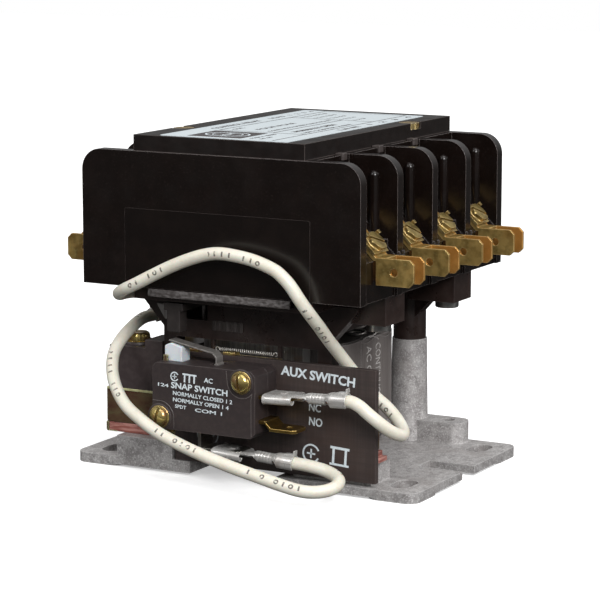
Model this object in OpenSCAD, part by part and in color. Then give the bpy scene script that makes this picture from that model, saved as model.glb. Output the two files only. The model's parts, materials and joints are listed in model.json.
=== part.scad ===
// Four-pole magnetic control relay on a cast base, with an auxiliary snap switch wired to its coil.
// Frame: origin at the centre of the base footprint on the mounting plane, +X along the line to
// load direction, +Y along the row of poles away from the switch, +Z up.

/* [Base] */
// Width of the cast base along X
base_w = 92.8; // [90:0.1:96]
// Depth of the cast base along Y
base_d = 58; // [56:0.5:60]
// Height of the top of the base plate
plate_z = 2.5; // [2.5:0.1:2.5]
// Height of the cast seats
seat_z = 7.8; // [7.8:0.1:7.8]
// Mounting slot position along X
slot_x = 39.6; // [38:0.1:40]
// Mounting slot position along Y
slot_y = 21; // [20:0.1:21.5]
// Mounting slot width
slot_w = 5.2; // [4.4:0.1:5.4]
// Mounting slot length, end to end
slot_len = 8.6; // [7:0.1:9]

/* [Contact block] */
// Width of the contact block along X
block_w = 74; // [74:1:74]
// Depth of the contact block along Y
block_d = 76.8; // [76.8:0.1:76.8]
// Bottom of the contact block
block_z0 = 46.5; // [46.5:0.1:46.5]
// Top of the contact block
block_z1 = 78.7; // [78:0.1:79]
// Thickness of the barrier walls
wall_t = 2.9; // [2.4:0.1:3]
// Corner radius of the barrier walls
wall_r = 5; // [3:0.5:6]
// Number of poles
poles = 4; // [4:1:4]

/* [Terminals] */
// Width of a quick-connect tab
tab_w = 6.35; // [6.35:0.01:6.35]
// Thickness of a quick-connect tab
tab_t = 0.8; // [0.7:0.05:0.9]
// Distance between the two tabs of a terminal
tab_gap = 5.4; // [5:0.1:5.8]
// Distance from the middle plane to the tab tips
tab_tip_x = 46.5; // [45:0.5:47]

/* [Magnet] */
// Travel of the armature from open to closed
armature_travel = 3; // [2:0.1:3]
// Gap between the open contacts
contact_gap = 2.6; // [1.8:0.1:2.6]
// Half width of the coil along X
coil_hx = 20; // [19:0.5:20]
// Half depth of the coil along Y
coil_hy = 17; // [16:0.5:17]

/* [Auxiliary switch] */
// Left end of the switch board
board_x0 = -18; // [-18.5:0.5:-17.5]
// Right end of the switch board
board_x1 = 35.9; // [34:0.1:37]
// Height of the top of the switch board
board_z1 = 30.2; // [30:0.1:31]
// Length of the snap switch case
case_l = 27.8; // [27.8:0.1:27.8]
// Height of the snap switch case
case_h = 15.9; // [15.9:0.1:15.9]
// Thickness of the snap switch case
case_t = 10.3; // [10.3:0.1:10.3]

/* [Leads] */
// Outside diameter of the leads
lead_d = 3; // [2.6:0.1:3]

/* [Hidden] */

// Poles
pitch = (block_d - wall_t) / poles;
function pole_y(n) = -block_d / 2 + wall_t / 2 + pitch * (n - 0.5);
function wall_y(n) = -block_d / 2 + pitch * n;
sides = [-1, 1];
ends = [-1, 1];

// Base
foot_h = 0.5;
foot_l = 13;
edge_y = base_d / 2;
slot_r = slot_w / 2;
post_x = 18.5;
post_y = 24.6;
post_z1 = 28;
post_r0 = 4.8;
post_r1 = 4.35;
seat_screw_x = 29;
seat_screw_y = 25.3;
seat_screw_r = 1.7;
block_seat_x0 = -34.2;
block_seat_x1 = -18.6;
right_seat_x0 = 13.4;
right_seat_x1 = 33.9;

// Magnet
yoke_hx = 13;
yoke_hy = 21.1;
yoke_z0 = plate_z + 0.8;
yoke_z1 = 33;
core_hx = 12.5;
core_hy = 6.2;
bobbin_t = 1.4;
flange_z0 = 9.5;
flange_z1 = 32.4;
wrap_z0 = 9.9;
wrap_z1 = 32;
wrap_t = 0.6;
coil_r = 8;
armature_z = yoke_z1 + armature_travel + 0.05;
armature_t = 5;

// Clamp bar
bar_x0 = -39.2;
bar_x1 = 33.5;
bar_y0 = -25.8;
bar_y1 = -21.3;
bar_z0 = 10.1;
bar_z1 = 18.9;

// Lower frame
leg_x0 = 19.2;
leg_x1 = 22.8;
leg_y0 = -25.3;
leg_y1 = -21.5;
deck_z0 = 43.5;
deck_hx = 24;
deck_hy = 36.5;
gusset_x = 29.5;
gusset_z = 35.3;
boss_x0 = 27;
boss_x1 = 35.8;
boss_z0 = 39.6;
boss_hy = 4.9;
boss_x = 31.6;
boss_at = [[boss_x, -pitch], [boss_x, pitch], [-boss_x, pitch]];
spring_y = -24.5;

// Contact block
body_hx = 24.4;
body_wall = 1.8;
ledge_z = 63.9;
floor_t = 2.4;
ramp_x = 28.4;
apron_x = 36.4;
strap_t = 1;
contact_x = 10;
contact_r = 2.75;
contact_h = 1.2;
fixed_top = ledge_z + strap_t + contact_h;

// Moving contacts
tip_h = 1;
tip_z = fixed_top + contact_gap + 0.05;
bridge_z = tip_z + tip_h;
bridge_t = 1.2;
window_z1 = 74.9;
carrier_top = 77.3;

// Arc cover
cover_hx = 22.7;
cover_y0 = -38.2;
cover_y1 = 38;
cover_z1 = 82.5;
cover_screw_x = 20.9;
notch_w = 5.6;

// Terminal screws stand square to the sloped lands
ramp_mid_x = 34.6;
ramp_mid_z = ledge_z - (ramp_mid_x - ramp_x) + strap_t * 1.41;

// Auxiliary switch
board_y0 = -28.4;
board_y1 = -26.8;
board_z0 = 3.5;
case_x0 = -17.9;
case_x1 = case_x0 + case_l;
case_y0 = board_y0 - case_t;
case_z0 = 13.3;
case_z1 = case_z0 + case_h;
case_my = board_y0 - case_t / 2;
screw_lo = [-15.9, 16.1];
screw_hi = [6.3, 26.4];
lever_x = -2.6;
lever_z = 28.6;
lever_hy = 1.5;
plunger_x = -13.9;
plunger_z0 = 28.9;
plunger_hy = 2;
recess_z = 27.7;
finger_z = 36;

coil_tab_a = [-27, 10.4, 36];
coil_tab_b = [-35.2, 4.4, 34.4];

// Routes of the two leads, from the switch to the coil
upper_route = [[30.6, -33.55, 23.6], [32.4, -33.55, 23.5], [34.4, -33.5, 22.7], [36.3, -33.2, 21.2],
    [38.5, -32.2, 19.2], [40.4, -30.1, 17], [41.3, -27, 15.5], [40.8, -24, 15.1],
    [39.2, -21.3, 15.8], [36.9, -19.6, 17.5], [34.2, -19, 19.7], [31.5, -19.3, 21.8],
    [29.1, -20.2, 24.4], [27.3, -21.9, 27.4], [26.1, -24.3, 30.5], [25.4, -27.2, 33.5],
    [25.1, -31.2, 36.9], [25.1, -36, 40.9], [24.5, -39.7, 44.5], [23, -41.3, 47.6],
    [21.3, -42.1, 50.5], [19.4, -42.5, 52.6], [17, -42.6, 54.2], [12, -42.5, 55.8],
    [7, -42.5, 56.6], [2.5, -42.5, 56.8], [-1.5, -42.5, 56.1], [-6, -42.5, 54.6],
    [-10.5, -42.5, 52.7], [-15, -42.5, 50.5], [-19.5, -42.4, 48.2], [-23.4, -41.4, 46.4],
    [-27, -38.4, 44.8], [-30, -33.4, 43.5], [-32.4, -27, 42.7], [-33.2, -20.5, 41.9],
    [-32.1, -15.4, 40.6], [-30.2, -11.9, 38.8], [-28.4, -9, 37.1], [-27.3, -6.4, 36.2], [-27, -4, 36]];
lower_route = [[17, -33.55, 7.6], [21.2, -33.4, 7.3], [25.1, -33.5, 6.8], [28.3, -34.5, 6.2],
    [30.8, -36.7, 5.6], [31.6, -39.6, 5], [30.9, -42.4, 4.6], [28.6, -44.7, 4.4], [25.3, -45.7, 4.6],
    [20.5, -45.9, 5.4], [14, -45.5, 6.6], [7.5, -45.1, 7.8], [0.5, -44.8, 9.4],
    [-6.5, -44.4, 11.3], [-13, -43.8, 13.4], [-18.8, -42.6, 15.9], [-24, -40.8, 18.4],
    [-28.3, -38, 21.4], [-31.4, -35, 24.9], [-32.8, -32, 28.8], [-32.7, -28.2, 32],
    [-32.8, -23.3, 34], [-33.7, -18.5, 34.7], [-34.6, -14.8, 34.7], [-35.1, -12.2, 34.5],
    [-35.2, -10, 34.4]];

// Helpers
module box(p, q) {
    translate(p)
        cube([q[0] - p[0], q[1] - p[1], q[2] - p[2]]);
}

module round_rect(hx, hy, r) {
    square([2 * hx, 2 * (hy - r)], center = true);
    square([2 * (hx - r), 2 * hy], center = true);
    for (x = sides)
        for (y = ends)
            translate([x * (hx - r), y * (hy - r)])
                circle(r = r, $fn = 48);
}

module slot_along_y(r, length, height) {
    straight = length - 2 * r;
    for (e = ends)
        translate([0, e * straight / 2, 0])
            cylinder(r = r, h = height, $fn = 48);
    translate([-r, -straight / 2, 0])
        cube([2 * r, straight, height]);
}

// Profile in the XZ plane, extruded along +Y from y0 to y1
module profile_xz(points, y0, y1) {
    translate([0, y1, 0])
        rotate([90, 0, 0])
            linear_extrude(y1 - y0)
                polygon(points);
}

module rod_y(x, z, r, y0, y1) {
    translate([x, y0, z])
        rotate([-90, 0, 0])
            cylinder(r = r, h = y1 - y0, $fn = 40);
}

module pan_screw_y(x, z, y_seat, reach) {
    rod_y(x, z, 2.75, y_seat - 1.9, y_seat);
    rod_y(x, z, 1.45, y_seat, y_seat + reach);
}

// Base
module base_plate() {
    notch_x = 34.5;
    translate([0, 0, foot_h])
        linear_extrude(plate_z - foot_h)
            difference() {
                round_rect(base_w / 2, edge_y, 3);
                for (s = sides)
                    translate([s * (notch_x + base_w / 2) / 2, 0])
                        square([base_w / 2 - notch_x + 0.02, 6.8], center = true);
                translate([-13.7, -edge_y - 1])
                    square([23.7, 13]);
            }
    for (s = sides)
        for (e = ends)
            translate([s * (base_w / 2 - foot_l / 2), e * (edge_y - foot_l / 2), 0])
                linear_extrude(foot_h)
                    round_rect(foot_l / 2, foot_l / 2, 3);
}

module base_seats() {
    box([block_seat_x0, -edge_y, foot_h + 0.1], [block_seat_x1, -19.4, seat_z]);
    box([block_seat_x1 - 1, -edge_y, foot_h + 0.1], [-13.7, -19.4, 3.4]);
    box([right_seat_x0, -26.5, foot_h + 0.1], [right_seat_x1, -17, seat_z]);
    for (s = sides)
        translate([s * 21, 25.3, foot_h + 0.1])
            linear_extrude(seat_z - foot_h - 0.1)
                round_rect(13, 3.7, 3);
    for (s = sides)
        translate([s * post_x, post_y, plate_z - 0.5])
            cylinder(r1 = post_r0, r2 = post_r1, h = post_z1 - plate_z + 0.5, $fn = 64);
}

module base_casting() {
    color([0.66, 0.65, 0.65])
        difference() {
            union() {
                base_plate();
                base_seats();
            }
            for (s = sides) {
                for (e = ends)
                    translate([s * slot_x, e * slot_y, -1])
                        slot_along_y(slot_r, slot_len, plate_z + 2);
                translate([s * seat_screw_x, seat_screw_y, -1])
                    cylinder(r = seat_screw_r, h = seat_z + 2, $fn = 40);
                translate([s * post_x, post_y, 14])
                    cylinder(r = 1.65, h = 20, $fn = 40);
            }
        }
}

// Magnet and coil
module magnet_pad() {
    color([0.55, 0.22, 0.16])
        box([-yoke_hx, -16.8, plate_z], [yoke_hx, 19, yoke_z0]);
}

module magnet_yoke() {
    leg_t = 3.7;
    color([0.55, 0.54, 0.52]) {
        box([-yoke_hx, -yoke_hy, yoke_z0], [yoke_hx, yoke_hy, flange_z0 - 0.2]);
        for (e = ends)
            box([-yoke_hx, e > 0 ? yoke_hy - leg_t : -yoke_hy, yoke_z0],
                [yoke_hx, e > 0 ? yoke_hy : leg_t - yoke_hy, yoke_z1]);
        box([-core_hx, -core_hy, yoke_z0], [core_hx, core_hy, yoke_z1]);
    }
}

module coil_ring(hx, hy, r, z0, z1, inner_hx, inner_hy) {
    translate([0, 0, z0])
        linear_extrude(z1 - z0)
            difference() {
                round_rect(hx, hy, r);
                square([2 * inner_hx, 2 * inner_hy], center = true);
            }
}

module coil_bobbin() {
    hole_x = core_hx + 0.2;
    hole_y = core_hy + 0.2;
    color([0.16, 0.14, 0.13]) {
        for (z = [flange_z0, flange_z1 - bobbin_t])
            coil_ring(coil_hx - wrap_t, coil_hy - wrap_t, coil_r - wrap_t, z, z + bobbin_t,
                hole_x, hole_y);
        coil_ring(hole_x + 1.3, hole_y + 1.3, 1.2, flange_z0, flange_z1, hole_x, hole_y);
    }
}

module coil_winding() {
    color([0.62, 0.3, 0.14])
        coil_ring(coil_hx - wrap_t - 0.3, coil_hy - wrap_t - 0.3, coil_r - 0.9,
            flange_z0 + bobbin_t, flange_z1 - bobbin_t, core_hx + 1.5, core_hy + 1.5);
}

module coil_wrap() {
    color([0.3, 0.28, 0.27])
        translate([0, 0, wrap_z0])
            linear_extrude(wrap_z1 - wrap_z0)
                difference() {
                    round_rect(coil_hx, coil_hy, coil_r);
                    round_rect(coil_hx - wrap_t, coil_hy - wrap_t, coil_r - wrap_t);
                }
}

module clamp_bar() {
    color([0.62, 0.55, 0.32])
        box([bar_x0, bar_y0, bar_z0], [bar_x1, bar_y1, bar_z1]);
}

module clamp_shims() {
    color([0.6, 0.27, 0.2])
        for (layer = [0, 1])
            translate([bar_x0 + 0.2 + layer * 0.3, bar_y0 + 0.1, seat_z + layer * 1.15])
                cube([74.4 - layer * 1.5, bar_y1 - bar_y0 - 0.1, 1.15]);
}

module coil_terminal_block() {
    color([0.12, 0.11, 0.1])
        difference() {
            union() {
                box([-38, -26, bar_z1], [-27.6, -15, 29.4]);
                box([-27.8, -26, bar_z1], [leg_x1 * -1 - 0.1, -18, 31.4]);
                box([-38.4, -15.4, bar_z1], [-23.4, 12, 27.6]);
            }
            translate([-33.2, -20.4, 22])
                cylinder(r = 1.6, h = 10, $fn = 40);
            box([-24.2, -15.5, bar_z1 - 1], [-20, 13, 33]);
        }
}

module coil_terminal_screws() {
    color([0.74, 0.64, 0.38])
        translate([-33.2, -20.4, 0]) {
            translate([0, 0, 29.4])
                cylinder(r = 3.1, h = 0.7, $fn = 48);
            translate([0, 0, 30.1])
                difference() {
                    cylinder(r1 = 3, r2 = 2.7, h = 2, $fn = 48);
                    translate([-4, -0.45, 1])
                        cube([8, 0.9, 2]);
                }
            translate([0, 0, 23])
                cylinder(r = 1.55, h = 6.5, $fn = 32);
        }
}

// Upright lugs on the rear of the block, each with a tab that points to the front
module coil_terminals() {
    color([0.78, 0.62, 0.3])
        for (t = [coil_tab_a, coil_tab_b]) {
            box([t[0] - tab_w / 2, t[1] - 8.2, t[2] - 0.4], [t[0] + tab_w / 2, t[1], t[2] + 0.4]);
            box([max(t[0] - tab_w / 2, -38.4), t[1] - 0.8, 27.6], [t[0] + tab_w / 2, t[1], t[2]]);
        }
}

// Lower frame
module frame_gusset(s, y0, y1) {
    profile_xz([[s * leg_x0, deck_z0 + 0.1], [s * leg_x0, gusset_z - 4], [s * leg_x1, gusset_z],
        [s * gusset_x, gusset_z + gusset_x - leg_x1 + 0.6], [s * gusset_x, deck_z0 + 0.1]], y0, y1);
}

module lower_frame() {
    opening_hx = 7.5;
    opening_hy = 34.2;
    color([0.09, 0.08, 0.08])
        difference() {
            union() {
                box([-deck_hx, -deck_hy, deck_z0], [deck_hx, deck_hy, block_z0]);
                for (s = sides) {
                    box([s > 0 ? leg_x0 : -leg_x1, leg_y0, bar_z1],
                        [s > 0 ? leg_x1 : -leg_x0, leg_y1, deck_z0 + 0.1]);
                    frame_gusset(s, leg_y0, leg_y1);
                    frame_gusset(s, 21.6, 25.3);
                    translate([s * post_x, post_y, post_z1])
                        cylinder(r = 4.1, h = deck_z0 - post_z1 + 0.1, $fn = 64);
                    translate([s * 9.1 - 0.4, spring_y, 30])
                        cylinder(r = 0.6, h = 3.5, $fn = 24);
                }
                for (b = boss_at)
                    box([b[0] > 0 ? boss_x0 - 4 : -boss_x1, b[1] - boss_hy, boss_z0],
                        [b[0] > 0 ? boss_x1 : 4 - boss_x0, b[1] + boss_hy, block_z0]);
                box([-leg_x0, leg_y0, 33], [leg_x0, leg_y0 + 1.6, deck_z0 + 0.1]);
                box([-leg_x0, 23.7, 33], [leg_x0, 25.3, deck_z0 + 0.1]);
                box([20.6, leg_y1, 36.4], [22.2, 12, deck_z0 + 0.1]);
                box([-22.2, leg_y1, 34], [-20.6, 12, deck_z0 + 0.1]);
            }
            box([-opening_hx, -opening_hy, deck_z0 - 1], [opening_hx, opening_hy, block_z0 + 1]);
            box([-17.4, leg_y0 - 1, 37.4], [-10.6, leg_y0 + 3, deck_z0]);
            for (s = sides) {
                translate([s * post_x, post_y, post_z1 - 1])
                    cylinder(r = 1.8, h = 30, $fn = 40);
                translate([s * post_x, post_y, 40])
                    cylinder(r = 3.5, h = 10, $fn = 40);
            }
            for (b = boss_at)
                translate([b[0], b[1], boss_z0 - 1])
                    cylinder(r = 1.7, h = 20, $fn = 40);
        }
}

module post_screws() {
    color([0.72, 0.64, 0.42])
        for (s = sides)
            translate([s * post_x, post_y, 0]) {
                translate([0, 0, 17])
                    cylinder(r = 1.6, h = 23.5, $fn = 32);
                translate([0, 0, 40])
                    cylinder(r = 3.2, h = 2.4, $fn = 48);
            }
}

module frame_screws() {
    color([0.75, 0.74, 0.72])
        for (b = boss_at)
            translate([b[0], b[1], 0]) {
                translate([0, 0, boss_z0 - 1.9])
                    cylinder(r = 2.9, h = 1.9, $fn = 40);
                translate([0, 0, boss_z0 - 0.1])
                    cylinder(r = 1.6, h = 13, $fn = 32);
            }
}

// Contact block
module barrier_wall() {
    hx = block_w / 2;
    polygon([[-hx, block_z0], [hx, block_z0], [hx, block_z1 - wall_r], [hx - wall_r, block_z1],
        [wall_r - hx, block_z1], [-hx, block_z1 - wall_r]]);
    for (s = sides)
        translate([s * (hx - wall_r), block_z1 - wall_r])
            circle(r = wall_r, $fn = 64);
}

function land(x) = ledge_z - max(0, x - ramp_x);

module block_floor() {
    profile_xz([[-apron_x, block_z0], [-apron_x, land(apron_x)], [-ramp_x, ledge_z],
        [ramp_x, ledge_z], [apron_x, land(apron_x)], [apron_x, block_z0],
        [apron_x - floor_t, block_z0], [apron_x - floor_t, land(apron_x) - 1],
        [ramp_x - 1, ledge_z - floor_t], [1 - ramp_x, ledge_z - floor_t],
        [floor_t - apron_x, land(apron_x) - 1], [floor_t - apron_x, block_z0]],
        -block_d / 2 + 1, block_d / 2 - 1);
}

module on_ramp(s, y) {
    mirror([s < 0 ? 1 : 0, 0, 0])
        translate([ramp_mid_x, y, ramp_mid_z])
            rotate([0, 45, 0])
                children();
}

module contact_block() {
    slot_z = ledge_z + strap_t + 0.2;
    color([0.06, 0.05, 0.05])
        difference() {
            union() {
                for (n = [0 : poles])
                    translate([0, wall_y(n) + wall_t, 0])
                        rotate([90, 0, 0])
                            linear_extrude(wall_t)
                                barrier_wall();
                block_floor();
                for (s = sides)
                    box([s > 0 ? body_hx - body_wall : -body_hx, 1 - block_d / 2, ledge_z - 1],
                        [s > 0 ? body_hx : body_wall - body_hx, block_d / 2 - 1, block_z1]);
                for (s = sides)
                    for (n = [1 : poles])
                        on_ramp(s, pole_y(n))
                            translate([0, 0, -8])
                                cylinder(r = 3.4, h = 7, $fn = 40);
                for (b = boss_at)
                    translate([b[0], b[1], block_z0])
                        cylinder(r = 3.2, h = 13, $fn = 40);
                box([-19, -block_d / 2, block_z0 - 1.9], [19, -deck_hy, block_z0 + 0.5]);
            }
            for (n = [1 : poles]) {
                box([-4.2, pole_y(n) - 4.9, 40], [4.2, pole_y(n) + 4.9, ledge_z + 1]);
                for (s = sides) {
                    box([s > 0 ? body_hx - 3 : -body_hx - 1, pole_y(n) - 3.7, ledge_z],
                        [s > 0 ? body_hx + 1 : 3 - body_hx, pole_y(n) + 3.7, slot_z]);
                    on_ramp(s, pole_y(n))
                        translate([0, 0, -9])
                            cylinder(r = 1.95, h = 12, $fn = 40);
                }
            }
            for (n = [1 : poles - 1])
                box([-7.2, wall_y(n) - 0.1, block_z0 - 1], [7.2, wall_y(n) + wall_t + 0.1, 58]);
            for (s = sides)
                translate([s * cover_screw_x, s * pitch, block_z1 - 9])
                    cylinder(r = 1.3, h = 12, $fn = 32);
            for (b = boss_at)
                translate([b[0], b[1], block_z0 - 1])
                    cylinder(r = 1.65, h = 8, $fn = 32);
        }
}

module arc_cover() {
    color([0.15, 0.12, 0.11])
        difference() {
            box([-cover_hx, cover_y0, block_z1], [cover_hx, cover_y1, cover_z1]);
            for (s = sides) {
                box([s > 0 ? cover_hx - 1.6 : -cover_hx - 1, s * pitch - notch_w / 2,
                    block_z1 + 2.2], [s > 0 ? cover_hx + 1 : 1.6 - cover_hx,
                    s * pitch + notch_w / 2, cover_z1 + 1]);
                translate([s * cover_screw_x, s * pitch, block_z1 + 2.2])
                    cylinder(r = notch_w / 2, h = 5, $fn = 48);
                translate([s * cover_screw_x, s * pitch, block_z1 - 1])
                    cylinder(r = 1.5, h = 6, $fn = 32);
            }
        }
}

module rating_label() {
    color([0.83, 0.88, 0.9])
        box([-16.3, -37.4, cover_z1], [17.7, 33.6, cover_z1 + 0.12]);
}

module cover_screws() {
    color([0.8, 0.68, 0.4])
        for (s = sides)
            translate([s * cover_screw_x, s * pitch, 0]) {
                translate([0, 0, block_z1 + 2.2])
                    difference() {
                        cylinder(r = 2.5, h = 1.5, $fn = 48);
                        translate([-3, -0.35, 0.7])
                            cube([6, 0.7, 2]);
                    }
                translate([0, 0, block_z1 - 7])
                    cylinder(r = 1.25, h = 9.3, $fn = 32);
            }
}

// Main terminals
module tab_outline(x0, x1, z0, z1, cut) {
    polygon([[x0, z0], [x1 - cut, z0], [x1, z0 + cut], [x1, z1 - cut], [x1 - cut, z1], [x0, z1]]);
}

// A strap that runs in along the ledge, down the sloped land, and out to a pair of tabs
module terminal(s, n) {
    tab_z1 = 56.8;
    tab_z0 = tab_z1 - tab_w;
    tab_x0 = 36.9;
    web_x1 = 39.4;
    strap_hy = 3.5;
    drop = 1.41 * strap_t;
    foot_x = ramp_x + ledge_z - tab_z1 + drop;
    web_z0 = tab_z1 - tab_t;
    color([0.72, 0.56, 0.24])
        mirror([s < 0 ? 1 : 0, 0, 0])
            translate([0, pole_y(n), 0])
                difference() {
                    union() {
                        profile_xz([[7.4, ledge_z], [ramp_x, ledge_z],
                            [ramp_x + ledge_z - web_z0, web_z0], [web_x1, web_z0],
                            [web_x1, tab_z1], [foot_x, tab_z1],
                            [ramp_x + 0.4 * strap_t, ledge_z + strap_t],
                            [7.4, ledge_z + strap_t]], -strap_hy + 0.4, strap_hy - 0.4);
                        for (e = ends)
                            translate([0, e * tab_gap / 2 + tab_t / 2, 0])
                                rotate([90, 0, 0])
                                    linear_extrude(tab_t)
                                        tab_outline(tab_x0, tab_tip_x, tab_z0, tab_z1, 1.1);
                    }
                    translate([41.5, -9, tab_z1 - tab_w / 2])
                        rotate([-90, 0, 0])
                            cylinder(r = 0.9, h = 18, $fn = 32);
                    translate([ramp_mid_x, 0, ramp_mid_z])
                        rotate([0, 45, 0])
                            translate([0, 0, -4])
                                cylinder(r = 2.1, h = 8, $fn = 40);
                }
}

module clamp_screws(s) {
    color([0.66, 0.53, 0.27])
        for (n = [1 : poles])
            on_ramp(s, pole_y(n)) {
                translate([0, 0, 0.7])
                    difference() {
                        cylinder(r = 2.75, h = 1.3, $fn = 48);
                        translate([-4, -0.4, 0.6])
                            cube([8, 0.8, 2]);
                    }
                translate([0, 0, -6])
                    cylinder(r = 1.85, h = 6.8, $fn = 32);
            }
}

module clamp_plates(s) {
    color([0.7, 0.56, 0.28])
        for (n = [1 : poles])
            on_ramp(s, pole_y(n))
                difference() {
                    union() {
                        translate([-2.6, -3.4, 0.05])
                            cube([5.3, 6.8, 0.6]);
                        for (e = ends)
                            translate([-2.4, e * 3 - 0.4, 0.05])
                                cube([0.9, 0.8, 2.1]);
                    }
                    translate([0, 0, -1])
                        cylinder(r = 2, h = 4, $fn = 40);
                }
}

module fixed_contacts() {
    color([0.8, 0.8, 0.78])
        for (n = [1 : poles])
            for (s = sides)
                translate([s * contact_x, pole_y(n), ledge_z + strap_t])
                    cylinder(r = contact_r, h = contact_h, $fn = 40);
}

// Armature, carrier and bridges
module armature() {
    color([0.5, 0.49, 0.48])
        box([-yoke_hx, -yoke_hy, armature_z], [yoke_hx, yoke_hy, armature_z + armature_t]);
}

module contact_carrier() {
    plate_z0 = armature_z + armature_t;
    plate_z1 = plate_z0 + 1.9;
    cheek = 1.5;
    window_hy = 2.7;
    color([0.13, 0.12, 0.12])
        difference() {
            union() {
                box([-19.5, -17, plate_z0], [19.5, 17, plate_z1]);
                box([-6, -19, plate_z0], [6, 19, 50]);
                box([-6, -33.4, 49.6], [6, 33.4, 55]);
                for (n = [1 : poles])
                    box([-3.5, pole_y(n) - window_hy - cheek, 54],
                        [3.5, pole_y(n) + window_hy + cheek, carrier_top]);
                box([-16.6, -35.4, plate_z0], [-11.4, -15, plate_z1]);
                box([-15.8, -35.4, finger_z], [-12.2, -32, plate_z0 + 0.5]);
            }
            for (n = [1 : poles])
                box([-5, pole_y(n) - window_hy, bridge_z - 0.05],
                    [5, pole_y(n) + window_hy, window_z1]);
        }
}

module contact_bridge(n) {
    color([0.75, 0.52, 0.3]) {
        box([-12.8, pole_y(n) - 2.5, bridge_z], [12.8, pole_y(n) + 2.5, bridge_z + bridge_t]);
        for (s = sides)
            translate([s * contact_x, pole_y(n), tip_z])
                cylinder(r = 2.4, h = tip_h, $fn = 40);
    }
}

module spring_sleeve(r, z0, z1) {
    translate([0, 0, z0])
        difference() {
            cylinder(r = r, h = z1 - z0, $fn = 32);
            translate([0, 0, -1])
                cylinder(r = r - 0.6, h = z1 - z0 + 2, $fn = 32);
        }
}

module contact_springs() {
    color([0.7, 0.7, 0.7])
        for (n = [1 : poles])
            translate([0, pole_y(n), 0])
                spring_sleeve(2, bridge_z + bridge_t, window_z1);
}

module return_springs() {
    color([0.7, 0.7, 0.7])
        for (s = sides)
            translate([s * 16.4, 0, 0])
                spring_sleeve(2.3, flange_z1, armature_z + armature_t);
}

// Auxiliary switch
module switch_board() {
    color([0.17, 0.13, 0.12])
        difference() {
            box([board_x0, board_y0, board_z0], [board_x1, board_y1, board_z1]);
            for (p = [screw_lo, screw_hi])
                rod_y(p[0], p[1], 1.55, board_y0 - 1, board_y1 + 1);
        }
}

module switch_bracket() {
    color([0.76, 0.68, 0.36])
        difference() {
            union() {
                box([-23.9, board_y1, 8.7], [10, bar_y0, board_z1]);
                for (x = [-15, -4.8])
                    box([x, board_y0 + 0.3, board_z1], [x + 3.3, bar_y0, board_z1 + 0.7]);
            }
            box([-30, board_y1 - 1, 10.4], [-20.6, bar_y0 + 1, 40]);
            for (p = [screw_lo, screw_hi])
                rod_y(p[0], p[1], 1.55, board_y1 - 1, bar_y0 + 1);
        }
}

module case_outline() {
    b = 1.2;
    polygon([[case_x0 + b, case_z0], [case_x1 - b, case_z0], [case_x1, case_z0 + b],
        [case_x1, case_z1 - b], [case_x1 - b, case_z1], [case_x0 + b, case_z1],
        [case_x0, case_z1 - b], [case_x0, case_z0 + b]]);
}

module case_body(y0, y1) {
    translate([0, y1, 0])
        rotate([90, 0, 0])
            linear_extrude(y1 - y0)
                case_outline();
}

module switch_case() {
    color([0.1, 0.09, 0.09])
        difference() {
            case_body(case_my + 1, board_y0);
            case_slots();
        }
}

module switch_cover() {
    color([0.1, 0.09, 0.09])
        difference() {
            case_body(case_y0, case_my + 1);
            case_slots();
        }
}

// Screw holes, the pocket under the plunger, the lever slot and the terminal slots
module case_slots() {
    for (p = [screw_lo, screw_hi])
        rod_y(p[0], p[1], 1.55, case_y0 - 1, board_y0 + 1);
    box([plunger_x - 1.6, case_my - 1.6, 24.5], [plunger_x + 1.6, case_my + 1.6, 40]);
    box([case_x0 - 1, case_my - plunger_hy - 0.3, recess_z], [-11.2, case_my + plunger_hy + 0.3, 40]);
    box([lever_x - 1.2, case_my - lever_hy - 0.6, lever_z - 1.1],
        [lever_x + 1.4, case_my + lever_hy + 0.6, 40]);
    box([case_x1 - 4, case_my - 3.3, 22.4], [case_x1 + 1, case_my + 3.3, 23.4]);
    box([case_x1 - 4, case_my - 3.3, 16.6], [case_x1 + 1, case_my + 3.3, 17.6]);
    box([-7, case_my - 3.3, case_z0 - 1], [-6, case_my + 3.3, case_z0 + 4]);
}

module switch_screws() {
    color([0.76, 0.62, 0.32])
        for (p = [screw_lo, screw_hi])
            pan_screw_y(p[0], p[1], case_y0, bar_y0 - case_y0 + 1.8 * (p[1] < 20 ? 0 : 1));
}

module switch_nuts() {
    color([0.7, 0.62, 0.4])
        translate([screw_hi[0], bar_y0 + 1.8, screw_hi[1]])
            rotate([90, 0, 0])
                difference() {
                    cylinder(r = 2.9, h = 1.8, $fn = 6);
                    translate([0, 0, -1])
                        cylinder(r = 1.5, h = 4, $fn = 32);
                }
}

// Spring steel lever: a rolled pivot in the case, up, then along to its tip above the plunger
module switch_lever() {
    color([0.72, 0.72, 0.7]) {
        profile_xz([[lever_x - 0.15, lever_z], [lever_x + 0.2, lever_z],
            [lever_x + 0.2, 30.8], [lever_x - 0.9, 32], [-6.6, 32.5], [-15.4, 34.1],
            [-15.45, 33.75], [-6.6, 32.15], [lever_x - 1.05, 31.65], [lever_x - 0.15, 30.65]],
            case_my - lever_hy, case_my + lever_hy);
        rod_y(lever_x, lever_z + 0.4, 0.5, case_my - lever_hy, case_my + lever_hy);
    }
}

module switch_plunger() {
    color([0.92, 0.93, 0.94]) {
        profile_xz([[-16.4, plunger_z0], [-11.6, plunger_z0], [-11.6, 32.6],
            [-14.7, 33.4], [-16.4, 32.7]], case_my - plunger_hy, case_my + plunger_hy);
        box([plunger_x - 1.4, case_my - 1.4, 26], [plunger_x + 1.4, case_my + 1.4, plunger_z0 + 1]);
    }
}

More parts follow.
